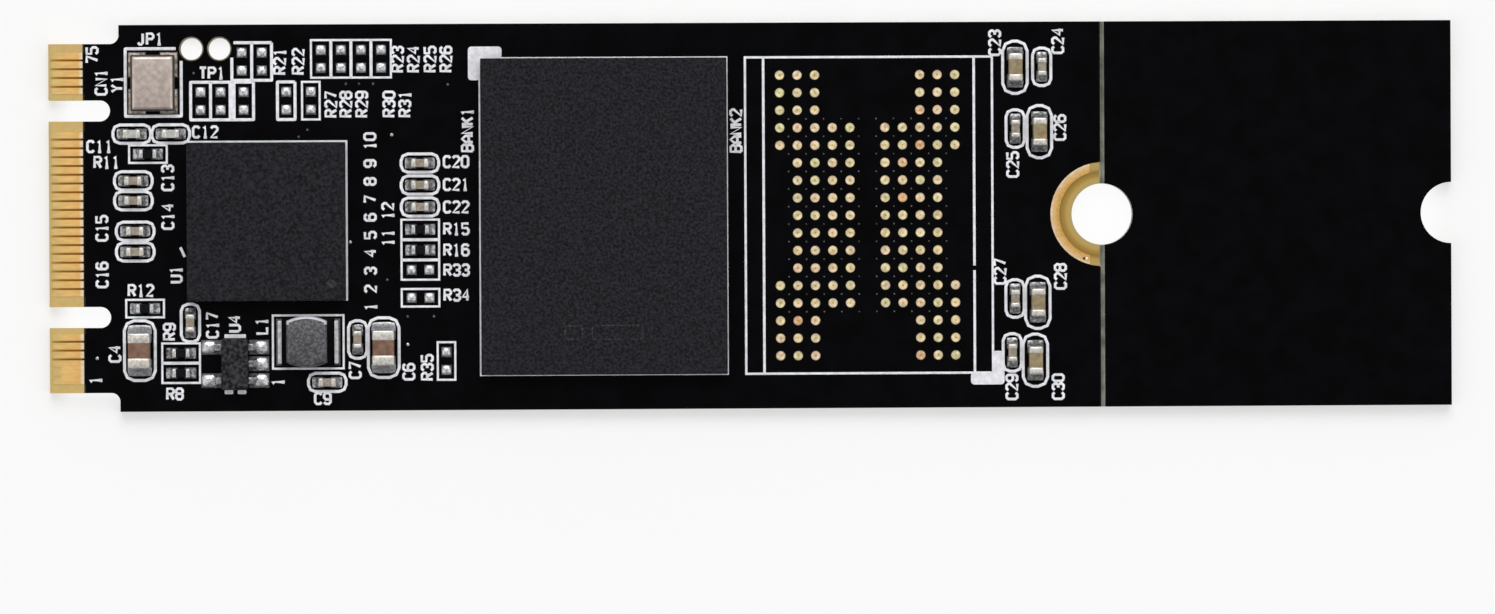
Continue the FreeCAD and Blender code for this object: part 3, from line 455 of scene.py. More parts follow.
# Screen-printed ink is a flat, cool white.
ink = mottled("legend_ink_screen_printed", "#dcdce3", "#f4f4f8", 0.3, {"Roughness": 0.6})
dress("jumper_hole_sleeves", sleeve)
for node in ("component_land_pads", "spare_component_pads"):
    dress(node, shaded_land_tin)
dress("legend_print", ink)
print("sleeves, lands and print dressed")

# %% [markdown]
# A memory or controller package is a small board with a slab of glass-filled epoxy moulded over
# it. The slab is matt and dark grey, with grains of filler that glint. Its edges are rounded by
# the mould. A bevel modifier does that to the solid after its loose triangles are welded.

# %% Packages: moulded epoxy, its carrier and the balls beneath
mould = mottled("epoxy_moulding_compound", "#0b0b0e", "#2a2a30", 0.15,
                {"Roughness": 0.62, "Specular IOR Level": 0.12}, relief=0.012, detail=4.0)
# The carrier is laminate under a dark green mask, and shows as a thin line at the package's foot.
carrier = mottled("package_carrier_laminate", "#1d2a20", "#26352a", 0.4, {"Roughness": 0.5})
# Reflowed balls are bright and smooth.
ball_tin = mottled("solder_ball_reflowed", "#9a9a9c", "#c4c4c6", 0.2, {"Metallic": 1.0, "Roughness": 0.3})
for name in ("controller", "flash"):
    dress(name + "_mould_cap", mould, 0.05)
    dress(name + "_substrate", carrier)
    dress(name + "_solder_balls", ball_tin)
print("packages dressed")

# %% [markdown]
# The power inductor is a drum of pressed ferrite with enamelled wire round its waist. The wire
# cannot be told turn by turn from above, so a wave along Z paints the solid winding with its turns:
# painted shade between them and painted highlights on them. The drum's upper face is ground and
# glints through a thin resin coat, and its edge on the lamp's side is a painted highlight. The foot
# and the waist sit in the flange's shade, which is painted into a material of their own, nearly black.

# %% Ferrite, sintered and ground: grey grains that glint, with a painted highlight on one edge
# The pale edge is a painted highlight on the lamp's side of the drum.
EDGE_HIGHLIGHT_DROP = 0.008   # the pale edge lies this far below the ground face
EDGE_HIGHLIGHT_SIDE = 1.0     # and this far from the drum's middle
core_low, core_high = box_mm("inductor_core")
core_middle = (core_low + core_high) / 2
ferrite, tree, shader, place = start_material("ferrite_ground_painted_highlight", {
    "Roughness": 0.4, "Specular IOR Level": 0.8, "Coat Weight": 1.0, "Coat IOR": 1.5, "Coat Roughness": 0.3})
grit, grain = patchy(tree, place, 0.17, 4.0, low=0.45, high=0.6)
grey = add_node(tree, "ShaderNodeMix", {0: grain, 6: "#000000", 7: "#484852"}, data_type="RGBA")
axes = add_node(tree, "ShaderNodeSeparateXYZ", {"Vector": place})
below = add_node(tree, "ShaderNodeMath", {0: axes.outputs["Z"], 1: (core_high.z - EDGE_HIGHLIGHT_DROP) * MM},
                 operation="LESS_THAN")
beyond = add_node(tree, "ShaderNodeMath", {0: axes.outputs["Y"], 1: (core_middle.y + EDGE_HIGHLIGHT_SIDE) * MM},
                  operation="GREATER_THAN")
upper = add_node(tree, "ShaderNodeMath", {0: below, 1: beyond}, operation="MULTIPLY")
# Painted highlight: on the lamp's side the drum's edge is a pale lilac grey.
grey_with_highlight = add_node(tree, "ShaderNodeMix", {0: upper, 6: grey, 7: "#c2c0cb"}, data_type="RGBA")
bump = add_node(tree, "ShaderNodeBump", {"Height": grit, "Distance": 0.04 * MM})
feed(shader, {"Base Color": grey_with_highlight, "Normal": bump, "Coat Normal": bump})
print("drum middle", [round(v, 2) for v in core_middle])

# %% The inductor's foot, terminals and wire
# The foot and the post sit in the flange's shade, painted in as nearly black and matt ferrite.
shaded_ferrite = mottled("ferrite_painted_shade", "#040406", "#09090b", 0.3,
                       {"Roughness": 0.6, "Specular IOR Level": 0.05})
dress("inductor_core", shaded_ferrite)
# Dipped tin is pale grey and soft.
terminal_tin = mottled("terminal_tin_dipped", "#b6b6b8", "#dedede", 0.3, {"Metallic": 0.6, "Roughness": 0.4},
                       relief=0.01)
dress("inductor_terminals", terminal_tin, 0.06)
# Enamel turns copper wire a deep red brown. A wave texture repeats every 0.314 over its scale.
WIRE = 0.12
wire, tree, shader, place = start_material("copper_wire_enamelled", {"Metallic": 0.6, "Roughness": 0.35})
# Painted shade and highlight: the wave's dark bands stand for the shade between turns, its light bands for
# their lit crests.
turns = add_node(tree, "ShaderNodeTexWave", {"Vector": place, "Scale": 0.314 / (WIRE * MM)},
                 bands_direction="Z")
copper = add_node(tree, "ShaderNodeMix", {0: turns.outputs["Fac"], 6: "#3a1a0c", 7: "#a85a2c"},
                  data_type="RGBA")
feed(shader, {"Base Color": copper})
dress("inductor_winding", wire)
print("inductor dressed")

# %% [markdown]
# Pieces that Blender models itself are built in a bmesh and handed over by one function. What
# repeats is made once, as a pattern in millimetres about its own middle, and a second function
# stamps it into the piece wherever a copy belongs.

# %% Functions that stamp patterns and hand pieces over
def add_piece(name, shape, material, slot, *stands_for):
    """Makes a piece of the scene from a shape, and frees the shape."""
    mesh = bpy.data.meshes.new(name)
    bmesh.ops.recalc_face_normals(shape, faces=shape.faces)
    shape.to_mesh(mesh)
    shape.free()
    mesh.materials.append(material)
    mesh.shade_smooth()
    mesh.set_sharp_from_angle(angle=math.radians(50))
    made = bpy.data.objects.new(name, mesh)
    bpy.context.scene.collection.objects.link(made)
    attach(made, "root")
    if stands_for:
        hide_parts(*stands_for)
    print(name, "has", len(mesh.polygons), "faces")


def stamp(shape, pattern, *places):
    """Adds a copy of a pattern to a shape at each point or matrix in mm, and frees the pattern."""
    mesh = bpy.data.meshes.new("stamp")
    pattern.to_mesh(mesh)
    pattern.free()
    for place in places:
        before = len(shape.verts)
        shape.from_mesh(mesh)
        shape.verts.ensure_lookup_table()
        move = place if isinstance(place, Matrix) else Matrix.Translation(place)
        bmesh.ops.transform(shape, matrix=Matrix.Scale(MM, 4) @ move, verts=shape.verts[before:])
    bpy.data.meshes.remove(mesh)


def round_edges(pattern, edges, radius, segments):
    """Rounds some edges of a pattern by a radius in mm."""
    bmesh.ops.bevel(pattern, geom=edges, offset=radius, segments=segments, profile=0.5,
                    affect="EDGES", material=-1)


def block(size):
    """A plain block in mm, standing on z = 0 about its middle."""
    made = bmesh.new()
    bmesh.ops.create_cube(made, size=1.0)
    bmesh.ops.translate(made, vec=(0, 0, 0.5), verts=made.verts)
    bmesh.ops.scale(made, vec=size, verts=made.verts)
    return made


def rounded_block(size, radius, segments=2):
    """A block with all its edges rounded."""
    made = block(size)
    round_edges(made, made.edges[:], radius, segments)
    return made


print("piece functions ready")

# %% [markdown]
# A capacitor or resistor chip is a ceramic block with a plated cap over each end. The bodies stay
# as solids with rounded edges. A chip's name tells a resistor, and its length tells the case size.
# Its cap and its solder take their sizes from its box.

# %% Chip ceramics, fired and glazed: smooth and dull, in a tone for each case size
# Fired barium titanate is tan, pale or brown, by its grade. Calcium zirconate is pale grey.
tan_ceramic = mottled("barium_titanate_fired", "#857453", "#9c8c6c", 0.25, {"Roughness": 0.42})
pale_ceramic = mottled("barium_titanate_pale_fired", "#867b69", "#a1978a", 0.2, {"Roughness": 0.42})
brown_ceramic = mottled("barium_titanate_brown_fired", "#6a4a39", "#856653", 0.35, {"Roughness": 0.4})
grey_ceramic = mottled("calcium_zirconate_fired", "#a9a9a6", "#c2c2be", 0.25, {"Roughness": 0.42})
# The glass over a resistor's film is black, with a faint shine.
black_glaze = mottled("resistor_glass_glaze", "#060608", "#0f0f12", 0.2,
                      {"Roughness": 0.3, "Specular IOR Level": 0.15})
print("ceramics ready")

# %% Chip bodies
PLATING = 0.02   # mm of plating on each side of a body
LARGE = 1.9      # chips longer than this, in mm, are of the large case size
MEDIUM = 1.2     # and longer than this of the medium one


class Chip:
    """Place and size of one chip, in mm, plating included."""

    def __init__(self, node):
        low, high = box_mm(node)
        size = high - low
        self.middle = (low + high) / 2
        self.upright = size.y > size.x
        self.length = max(size.x, size.y) + 2 * PLATING
        self.width = min(size.x, size.y) + 2 * PLATING
        self.height = high.z + PLATING - CARD_TOP
        self.resistor = "resistor" in node
        self.case = "large" if self.length > LARGE else "medium" if self.length > MEDIUM else "small"

    def ends(self):
        """Matrices that put +X outwards at the two ends of the chip, on the card's top."""
        seat = Matrix.Translation((self.middle.x, self.middle.y, CARD_TOP))
        turn = math.radians(90 if self.upright else 0)
        out = Matrix.Translation((self.length / 2, 0, 0))
        return [seat @ Matrix.Rotation(turn + half, 4, "Z") @ out for half in (0, math.pi)]


chips = {name: Chip(name) for name in sorted(solids)
         if "_capacitor" in name or "_resistor" in name or "memory_" in name}
# What each case size is fired from, and how many mm its edges are rounded.
CERAMICS = {"large": (brown_ceramic, 0.06), "medium": (tan_ceramic, 0.04), "small": (pale_ceramic, 0.04)}
for name, chip in chips.items():
    if chip.resistor:
        dress(name, black_glaze, 0.02)
    elif name.startswith("crystal"):
        dress(name, grey_ceramic, 0.04)
    else:
        dress(name, *CERAMICS[chip.case])
print("chips:", len(chips), "lengths:", sorted({round(chip.length, 2) for chip in chips.values()}))

# %% [markdown]
# The plated caps are rounded blocks that overlap the body's ends. Real caps are dipped, so their
# edges are soft, and how much of the length they take differs with the case size. The resistors'
# caps are a colder grey, because flux has dried on them.

# %% Plated ends, tin over the ceramic: pale and soft, a little warm on the capacitors
end_tin = mottled("chip_end_tin_plated", "#c6c2ba", "#eeeae2", 0.14, {"Metallic": 0.7, "Roughness": 0.38},
                  relief=0.008)
dull_end_tin = mottled("chip_end_tin_fluxed", "#b2b2b5", "#e6e6e6", 0.14,
                       {"Metallic": 0.75, "Roughness": 0.4}, relief=0.008)
CAP_SHARES = {"large": 0.3, "medium": 0.26, "small": 0.28}   # shares of the length under one cap
RESISTOR_CAP_SHARE = 0.23
CAP_ROUNDING = 0.09                                          # mm, and less on a low chip
for kind, plating in (("capacitor", end_tin), ("resistor", dull_end_tin)):
    shape = bmesh.new()
    for chip in chips.values():
        if chip.resistor == (kind == "resistor"):
            cap = chip.length * (RESISTOR_CAP_SHARE if chip.resistor else CAP_SHARES[chip.case])
            end = rounded_block((cap, chip.width, chip.height), min(CAP_ROUNDING, 0.16 * chip.height), 3)
            inward = Matrix.Translation((-cap / 2, 0, 0))
            stamp(shape, end, *[place @ inward for place in chip.ends()])
    add_piece(kind + "_plated_ends", shape, plating, "end_plating", kind + "_end_caps")

# %% [markdown]
# Molten solder climbs each end and pulls itself into a hollow slope that thins out to the edge of
# the land. A cube cut into a grid keeps the slope closed: the height of every point of its top
# comes from how far out and how far across it lies.

# %% Solder slopes at the chip ends, reflowed tin: bright, dark where it turns away, painted darker on small chips
solder = mottled("solder_reflowed", "#aeaeb2", "#f0f0f0", 0.11, {"Metallic": 0.92, "Roughness": 0.3},
                 relief=0.03, detail=3.0)
# On the smaller chips the slopes take a darker, patchier copy of the tin: painted shade and painted glints,
# as tin shows when it mirrors a dark room.
shaded_slope_solder = mottled("solder_slope_painted_shade", "#6e6e73", "#dcdcdc", 0.17,
                     {"Metallic": 0.92, "Roughness": 0.28}, relief=0.05, detail=3.0)
LAND_BESIDE = 0.06   # mm of land on each side of a chip
CLIMB = 0.7          # share of the chip's height that the solder climbs
UNDERCUT = 0.04      # mm that a slope starts inside the cap
LIP_RISE = 0.05      # mm that it stands above the land before it falls off
FILM = 0.004         # mm that is left at its edge


def solder_slope(reach, width, crest):
    """A slope in mm that falls outwards along X."""
    slope = block((1.0, 1.0, 1.0))
    bmesh.ops.translate(slope, vec=(0.5, 0, 0), verts=slope.verts)
    bmesh.ops.subdivide_edges(slope, edges=slope.edges[:], cuts=5, use_grid_fill=True)
    for vert in slope.verts:
        out = vert.co.x
        across = 2 * vert.co.y
        lip = LIP_RISE * (1 - out ** 6) * (1 - across ** 6)
        rise = crest * (1 - out) ** 2 * (1 - 0.55 * across ** 4)
        vert.co.z *= lip + rise + FILM
        vert.co.x = (out * (reach + UNDERCUT) - UNDERCUT) * (1 - 0.1 * across ** 4)
        vert.co.y *= width * (1 - 0.12 * out ** 3)
    return slope


for name, large, reach, material, stands_for in (
        ("chip_solder", False, 0.35, shaded_slope_solder, ["solder_fillets"]),
        ("large_chip_solder", True, 0.45, solder, [])):
    shape = bmesh.new()
    for chip in chips.values():
        if large == (chip.case == "large"):
            slope = solder_slope(reach, chip.width + 2 * LAND_BESIDE, CLIMB * chip.height)
            stamp(shape, slope, *chip.ends())
    add_piece(name, shape, material, "solder", *stands_for)

# %% [markdown]
# Where no part was fitted, the paste still melted and left a dome of solder on each land. A sphere
# with its lower half pressed flat gives one. Molten solder fills a square land but draws in from
# its corners, so the round outline is stretched towards the corners, and how far is a number: 2
# leaves an ellipse, and larger ones come nearer to a rectangle.

# %% Solder domes
DOME_CREST = 0.1      # mm
CREST_STEP = 0.015
LAND_SHOWS = 0.01     # mm of a land's width that a dome leaves bare
SINK = 0.01           # mm that solder starts below the card's top, so that no gap shows


def solder_dome(along_x, along_y, crest, squareness):
    """A dome in mm, flat below, whose outline comes near to a rectangle."""
    dome = bmesh.new()
    bmesh.ops.create_uvsphere(dome, u_segments=20, v_segments=10, radius=1.0)
    for vert in dome.verts:
        angle = math.atan2(vert.co.y, vert.co.x)
        powers = abs(math.cos(angle)) ** squareness + abs(math.sin(angle)) ** squareness
        stretch = powers ** (-1 / squareness)
        vert.co.x *= along_x / 2 * stretch
        vert.co.y *= along_y / 2 * stretch
        vert.co.z = crest * max(0.0, vert.co.z)
    return dome


shape = bmesh.new()
for count, (low, high) in enumerate(separate_boxes("spare_component_pads")):
    # The paste print is never quite even, so the domes differ a little in height.
    crest = DOME_CREST + CREST_STEP * (count * 7 % 5)
    dome = solder_dome(high.x - low.x - LAND_SHOWS, high.y - low.y - LAND_SHOWS, crest, squareness=3.2)
    stamp(shape, dome, ((low.x + high.x) / 2, (low.y + high.y) / 2, CARD_TOP - SINK))
add_piece("spare_land_solder", shape, solder, "solder")

# %% [markdown]
# The voltage regulator is a moulded block on five bent leads. The leads stand in mounds of solder
# on their lands, so each of those lands gets a taller dome that buries the lead's foot. The solder
# gathers at the land's outer end and leaves the bend bare.

# %% Regulator: moulded body, leads and their solder
# Its compound has coarse filler, so the face is black with pale grains.
coarse_mould = mottled("epoxy_moulding_compound_coarse", "#030304", "#38383d", 0.2,
                       {"Roughness": 0.55, "Specular IOR Level": 0.2}, relief=0.03, detail=4.0,
                       low=0.42, high=0.6)
# The leads are tinned before they are bent. Their grey is painted dark: painted shade of the body over their
# shoulders.
lead_tin = mottled("lead_frame_tin_plated", "#6a6a6e", "#b4b4b6", 0.2, {"Metallic": 0.9, "Roughness": 0.4})
dress("regulator_body", coarse_mould, 0.13)
dress("regulator_leads", lead_tin, 0.05)
FOOT_SHARE = 0.8   # share of a land's length under its dome


def lands_by(node, beside_x=0.0, beside_y=0.0):
    """Middle and size, in mm, of each fitted part's land under a node or so many mm beside it."""
    node_low, node_high = box_mm(node)
    found = []
    for low, high in separate_boxes("component_land_pads"):
        middle = (low + high) / 2
        if (node_low.x - beside_x < middle.x < node_high.x + beside_x
                and node_low.y - beside_y < middle.y < node_high.y + beside_y):
            found.append((middle, high - low))
    return found


body_low, body_high = box_mm("regulator_body")
body_x = (body_low.x + body_high.x) / 2
shape = bmesh.new()
for middle, size in lands_by("regulator_leads", beside_x=0.3, beside_y=0.4):
    outward = math.copysign((1 - FOOT_SHARE) / 2 * size.x, middle.x - body_x)
    dome = solder_dome(FOOT_SHARE * size.x, 0.95 * size.y, crest=0.2, squareness=3.4)
    stamp(shape, dome, (middle.x + outward, middle.y, CARD_TOP - SINK))
add_piece("regulator_solder", shape, solder, "solder")

# %% [markdown]
# Seen from above, the inductor's drum shows its upper flange: straight at the sides and bowed at
# the ends, with a rounded edge that catches the lamp and a painted highlight on the lamp's side.
# The post and the square foot below it are plain, painted in the flange's shade, and come first.
# For the flange, a cube cut into strips along X takes its form when the ends are pushed out most
# in the middle.

# %% Inductor foot and post
FOOT_HEIGHT = 0.3
POST_DIAMETER = 1.3
POST_DROP = 0.1   # mm that the post is let into the foot, to end inside the flange
foot = rounded_block((core_high.x - core_low.x, core_high.y - core_low.y, FOOT_HEIGHT), 0.05)
post = bmesh.new()
bmesh.ops.create_cone(post, cap_ends=True, segments=32, radius1=POST_DIAMETER / 2, radius2=POST_DIAMETER / 2,
                      depth=core_high.z - core_low.z - FOOT_HEIGHT)
post_middle = (core_low.z + core_high.z + FOOT_HEIGHT) / 2 - POST_DROP
shape = bmesh.new()
stamp(shape, foot, (core_middle.x, core_middle.y, core_low.z))
stamp(shape, post, (core_middle.x, core_middle.y, post_middle))
add_piece("inductor_drum", shape, shaded_ferrite, "ferrite", "inductor_core")

# %% Inductor flange
FLANGE_LENGTH = 2.31
FLANGE_WIDTH = 2.36
FLANGE_BULGE = 0.29
FLANGE_HEIGHT = 0.35
FLANGE_BEVEL = 0.19
flange = block((1.0, 1.0, 1.0))
lengthwise = [edge for edge in flange.edges if abs(edge.verts[0].co.x - edge.verts[1].co.x) > 0.5]
bmesh.ops.subdivide_edges(flange, edges=lengthwise, cuts=13)
for vert in flange.verts:
    bow = FLANGE_BULGE * (1 - (2 * vert.co.x) ** 2)
    vert.co = (vert.co.x * FLANGE_LENGTH, math.copysign(FLANGE_WIDTH / 2 + bow, vert.co.y),
               vert.co.z * FLANGE_HEIGHT)
flange.normal_update()
rim = [edge for edge in flange.edges if len({round(face.normal.z) for face in edge.link_faces}) == 2 and
       min(vert.co.z for vert in edge.verts) > FLANGE_HEIGHT / 2]
round_edges(flange, rim, FLANGE_BEVEL, segments=4)
shape = bmesh.new()
# The drum was set down a little to the left of its frame's middle.
stamp(shape, flange, (core_middle.x - 0.06, core_middle.y + 0.03, core_high.z - FLANGE_HEIGHT))
add_piece("inductor_flange", shape, ferrite, "ferrite")

# %% [markdown]
# The clock crystal sits in a ceramic tub under a seam-welded lid of nickel-plated alloy. The lid is
# pressed, with a sloping border round a flat middle, and the border on the lamp's side shows as a
# bright line. A cube, an inset of its top and a lift of the inner face make that form. Solder on
# the four corner lands stands out a little past the tub.

# %% Crystal: ceramic tub and pressed lid
# The tub is a brownish black, and the nickel a warm, soft grey.
tub = mottled("alumina_ceramic_black_fired", "#2b2623", "#403935", 0.3, {"Roughness": 0.5})
dress("crystal_base", tub, 0.04)
lid = mottled("nickel_lid_pressed", "#b9aaa3", "#d5c6bc", 0.32, {"Metallic": 0.7, "Roughness": 0.36},
              relief=0.006, detail=3.0)
LID_BORDER = 0.19
LID_LIFT = 0.07
lid_low, lid_high = box_mm("crystal_lid")
plate = block((lid_high.x - lid_low.x, lid_high.y - lid_low.y, lid_high.z - lid_low.z - LID_LIFT))
top = max(plate.faces, key=lambda face: face.calc_center_median().z)
bmesh.ops.inset_region(plate, faces=[top], thickness=LID_BORDER)
bmesh.ops.translate(plate, vec=(0, 0, LID_LIFT), verts=top.verts[:])
round_edges(plate, plate.edges[:], radius=0.03, segments=2)
shape = bmesh.new()
stamp(shape, plate, ((lid_low.x + lid_high.x) / 2, (lid_low.y + lid_high.y) / 2, lid_low.z))
add_piece("crystal_lid_pressed", shape, lid, "lid_metal", "crystal_lid")

# %% Crystal: corner solder, stained by flux: a patchy brownish silver
crystal_solder = mottled("solder_stained_by_flux", "#665e56", "#c4b8a9", 0.25,
                         {"Metallic": 0.9, "Roughness": 0.4})
LAND_MARGIN = 0.06   # mm of a corner land's width that stays bare
CORNER_HEIGHT = 0.1
shape = bmesh.new()
for middle, size in lands_by("crystal_base"):
    corner = rounded_block((size.x - LAND_MARGIN, size.y - LAND_MARGIN, CORNER_HEIGHT), 0.045)
    stamp(shape, corner, (middle.x, middle.y, CARD_TOP - SINK))
add_piece("crystal_corner_solder", shape, crystal_solder, "solder")

# %% [markdown]
# Etching leaves a narrow trench between two fingers, and the shade in it draws the dark lines of
# the connector. Each trench gets a sliver on its floor with that shade painted on it, darker
# further back. The slivers stop short of the front, where the card's edge is chamfered and light
# gets in.

# %% Painted shade between the fingers: brown, and black where the lacquer begins
SHADE_START = 0.1     # mm from the front edge
TRENCH_START = 0.12
TRENCH_END = 2.05
TRENCH_SHARE = 0.66   # share of a trench's width that the sliver covers
SLIVER = 0.006
# The sliver's colour is painted shade, brown near the front and black under the lacquer.
trench_shade, tree, shader, place = start_material("trench_shade_painted", {
    "Roughness": 0.7, "Specular IOR Level": 0.1})
along = add_node(tree, "ShaderNodeSeparateXYZ", {"Vector": place}).outputs["X"]
depth = add_node(tree, "ShaderNodeMapRange", {"Value": along, "From Min": cad_low.x + SHADE_START * MM,
                                              "From Max": cad_low.x + TRENCH_END * MM})
shade = add_node(tree, "ShaderNodeValToRGB", {"Fac": depth}, stops=(
    (0.0, "#b8944a"), (0.35, "#925f10"), (0.88, "#7e4f0a"), (0.95, "#0c0804"), (1.0, LACQUER)))
feed(shader, {"Base Color": shade})
start = cad_low.x / MM + TRENCH_START
end = cad_low.x / MM + TRENCH_END
shape = bmesh.new()
for node, upward in (("edge_contacts_top", True), ("edge_contacts_bottom", False)):
    fingers = sorted(separate_boxes(node), key=lambda box: box[0].y)
    for (low, high), (next_low, _) in zip(fingers, fingers[1:]):
        width = next_low.y - high.y
        # A wider gap is a key slot.
        if 0.05 < width < 0.3:
            sliver = rounded_block((end - start, TRENCH_SHARE * width, SLIVER), 0.002, 1)
            floor_z = low.z if upward else high.z - SLIVER
            stamp(shape, sliver, ((start + end) / 2, (high.y + next_low.y) / 2, floor_z))
add_piece("finger_trench_shade", shape, trench_shade, "laminate")

# %% [markdown]
# Printed labels tell an assembler which part goes where. A plotter font is a few straight strokes
# to a letter, drawn with a round pen. Here each stroke is a line of a curve whose round bevel is
# the pen, and the whole curve, once it is a mesh, is pressed flat on the card. The designators are
# plain counting ones: C for capacitors, R for resistors, and so on.

# %% Plotter letters, on a grid four wide and six high
STROKES = {
    "0": [[(1, 0), (3, 0), (4, 1), (4, 5), (3, 6), (1, 6), (0, 5), (0, 1), (1, 0)]],
    "1": [[(1, 5), (2, 6), (2, 0)], [(1, 0), (3, 0)]],
    "2": [[(0, 5), (1, 6), (3, 6), (4, 5), (4, 4), (0, 0), (4, 0)]],
    "3": [[(0, 5), (1, 6), (3, 6), (4, 5), (4, 4), (3, 3), (4, 2), (4, 1), (3, 0), (1, 0), (0, 1)],
          [(1.5, 3), (3, 3)]],
    "4": [[(3, 0), (3, 6), (0, 2), (4, 2)]],
    "5": [[(4, 6), (0, 6), (0, 3.5), (3, 3.5), (4, 2.5), (4, 1), (3, 0), (1, 0), (0, 1)]],
    "6": [[(4, 5), (3, 6), (1, 6), (0, 5), (0, 1), (1, 0), (3, 0), (4, 1), (4, 2.5), (3, 3.5), (0, 3.5)]],
    "7": [[(0, 6), (4, 6), (1.5, 0)]],
    "8": [[(1, 3.2), (0, 4), (0, 5), (1, 6), (3, 6), (4, 5), (4, 4), (3, 3.2), (1, 3.2), (0, 2.4), (0, 1),
           (1, 0), (3, 0), (4, 1), (4, 2.4), (3, 3.2)]],
    "9": [[(0, 1), (1, 0), (3, 0), (4, 1), (4, 5), (3, 6), (1, 6), (0, 5), (0, 3.5), (1, 2.5), (4, 2.5)]],
    "A": [[(0, 0), (0, 4), (2, 6), (4, 4), (4, 0)], [(0, 2.2), (4, 2.2)]],
    "B": [[(0, 0), (0, 6), (3, 6), (4, 5), (4, 4), (3, 3.2), (0, 3.2)],
          [(3, 3.2), (4, 2.4), (4, 1), (3, 0), (0, 0)]],
    "C": [[(4, 5), (3, 6), (1, 6), (0, 5), (0, 1), (1, 0), (3, 0), (4, 1)]],
    "J": [[(3, 6), (3, 1), (2, 0), (1, 0), (0, 1)]],
    "K": [[(0, 0), (0, 6)], [(4, 6), (0, 2.5)], [(1.5, 3.7), (4, 0)]],
    "L": [[(0, 6), (0, 0), (4, 0)]],
    "N": [[(0, 0), (0, 6), (4, 0), (4, 6)]],
    "P": [[(0, 0), (0, 6), (3, 6), (4, 5), (4, 4), (3, 3), (0, 3)]],
    "R": [[(0, 0), (0, 6), (3, 6), (4, 5), (4, 4), (3, 3), (0, 3)], [(2, 3), (4, 0)]],
    "T": [[(0, 6), (4, 6)], [(2, 6), (2, 0)]],
    "U": [[(0, 6), (0, 1), (1, 0), (3, 0), (4, 1), (4, 6)]],
    "Y": [[(0, 6), (2, 3), (4, 6)], [(2, 3), (2, 0)]],
}
LETTER_HEIGHT = 0.61
LETTER_WIDTH = 0.36
LETTER_STEP = 0.51


def label_lines(words, x, y, turned):
    """The strokes of a label about its middle, as lists of points in mm on the card."""
    lines = []
    reach = LETTER_STEP * (len(words) - 1) + LETTER_WIDTH
    for place, letter in enumerate(words):
        for stroke in STROKES.get(letter, []):
            line = []
            for across, up in stroke:
                along = place * LETTER_STEP + across / 4 * LETTER_WIDTH - reach / 2
                above = (up / 6 - 0.5) * LETTER_HEIGHT
                line.append((x - above, y + along) if turned else (x + along, y + above))
            lines.append(line)
    return lines


print("letters:", len(STROKES))

# %% Where the labels stand, in mm from the card's middle
UPRIGHT_LABELS = (
    ("JP1", -34.2, 10.2), ("TP1", -30.7, 8.25), ("C12", -31.1, 4.9), ("C11", -37.1, 4.1), ("R11", -36.7, 3.2),
    ("R12", -34.8, -4.1), ("R8", -32.9, -10.0), ("C9", -24.5, -10.3), ("C20", -16.85, 3.15),
    ("C21", -16.85, 1.85), ("C22", -16.85, 0.57), ("R15", -16.85, -0.68), ("R16", -16.85, -1.88),
    ("R33", -16.85, -3.02), ("R34", -16.85, -4.45))
TURNED_LABELS = (
    ("75", -37.5, 9.3), ("CN1", -37.0, 7.75), ("Y1", -36.1, 7.65), ("R21", -26.85, 8.9),
    ("R22", -25.8, 8.9), ("R23", -20.15, 9.0), ("R24", -19.25, 9.0), ("R25", -18.3, 9.0),
    ("R26", -17.4, 9.0), ("R27", -23.95, 6.45), ("R28", -23.1, 6.45), ("R29", -22.2, 6.45),
    ("R30", -20.65, 6.45), ("R31", -19.75, 6.45), ("C13", -33.25, 2.3), ("C14", -33.25, 0.1),
    ("C15", -37.0, -0.55), ("C16", -37.0, -3.2), ("U1", -32.8, -3.2), ("C4", -36.3, -7.7),
    ("R9", -33.2, -6.45), ("C17", -30.75, -6.1), ("U4", -29.5, -6.02), ("L1", -27.95, -6.15),
    ("1", -37.4, -9.2), ("1", -27.05, -9.35), ("C7", -22.65, -8.7), ("C6", -19.6, -8.8),
    ("R35", -18.55, -8.55), ("BANK1", -16.2, 4.95), ("BANK2", -0.9, 4.85), ("C23", 13.9, 9.8),
    ("C24", 17.5, 9.9), ("C25", 14.9, 2.85), ("C26", 17.6, 4.95), ("C27", 14.15, -3.25),
    ("C28", 17.6, -3.55), ("C29", 14.8, -9.85), ("C30", 17.45, -9.85),
    ("1 2 3 4 5 6 7 8 9 10", -21.75, -0.25), ("11 12", -20.75, -0.4))
# A short slanted tick marks the controller's side.
pen_lines = [[(-32.55, -1.65), (-32.3, -2.2)]]
for labels, turned in ((UPRIGHT_LABELS, False), (TURNED_LABELS, True)):
    for words, x, y in labels:
        pen_lines += label_lines(words, x, y, turned)
print("pen strokes:", len(pen_lines))

# %% Draw the strokes and press them flat
PEN = 0.155
INK_RISE = 0.014


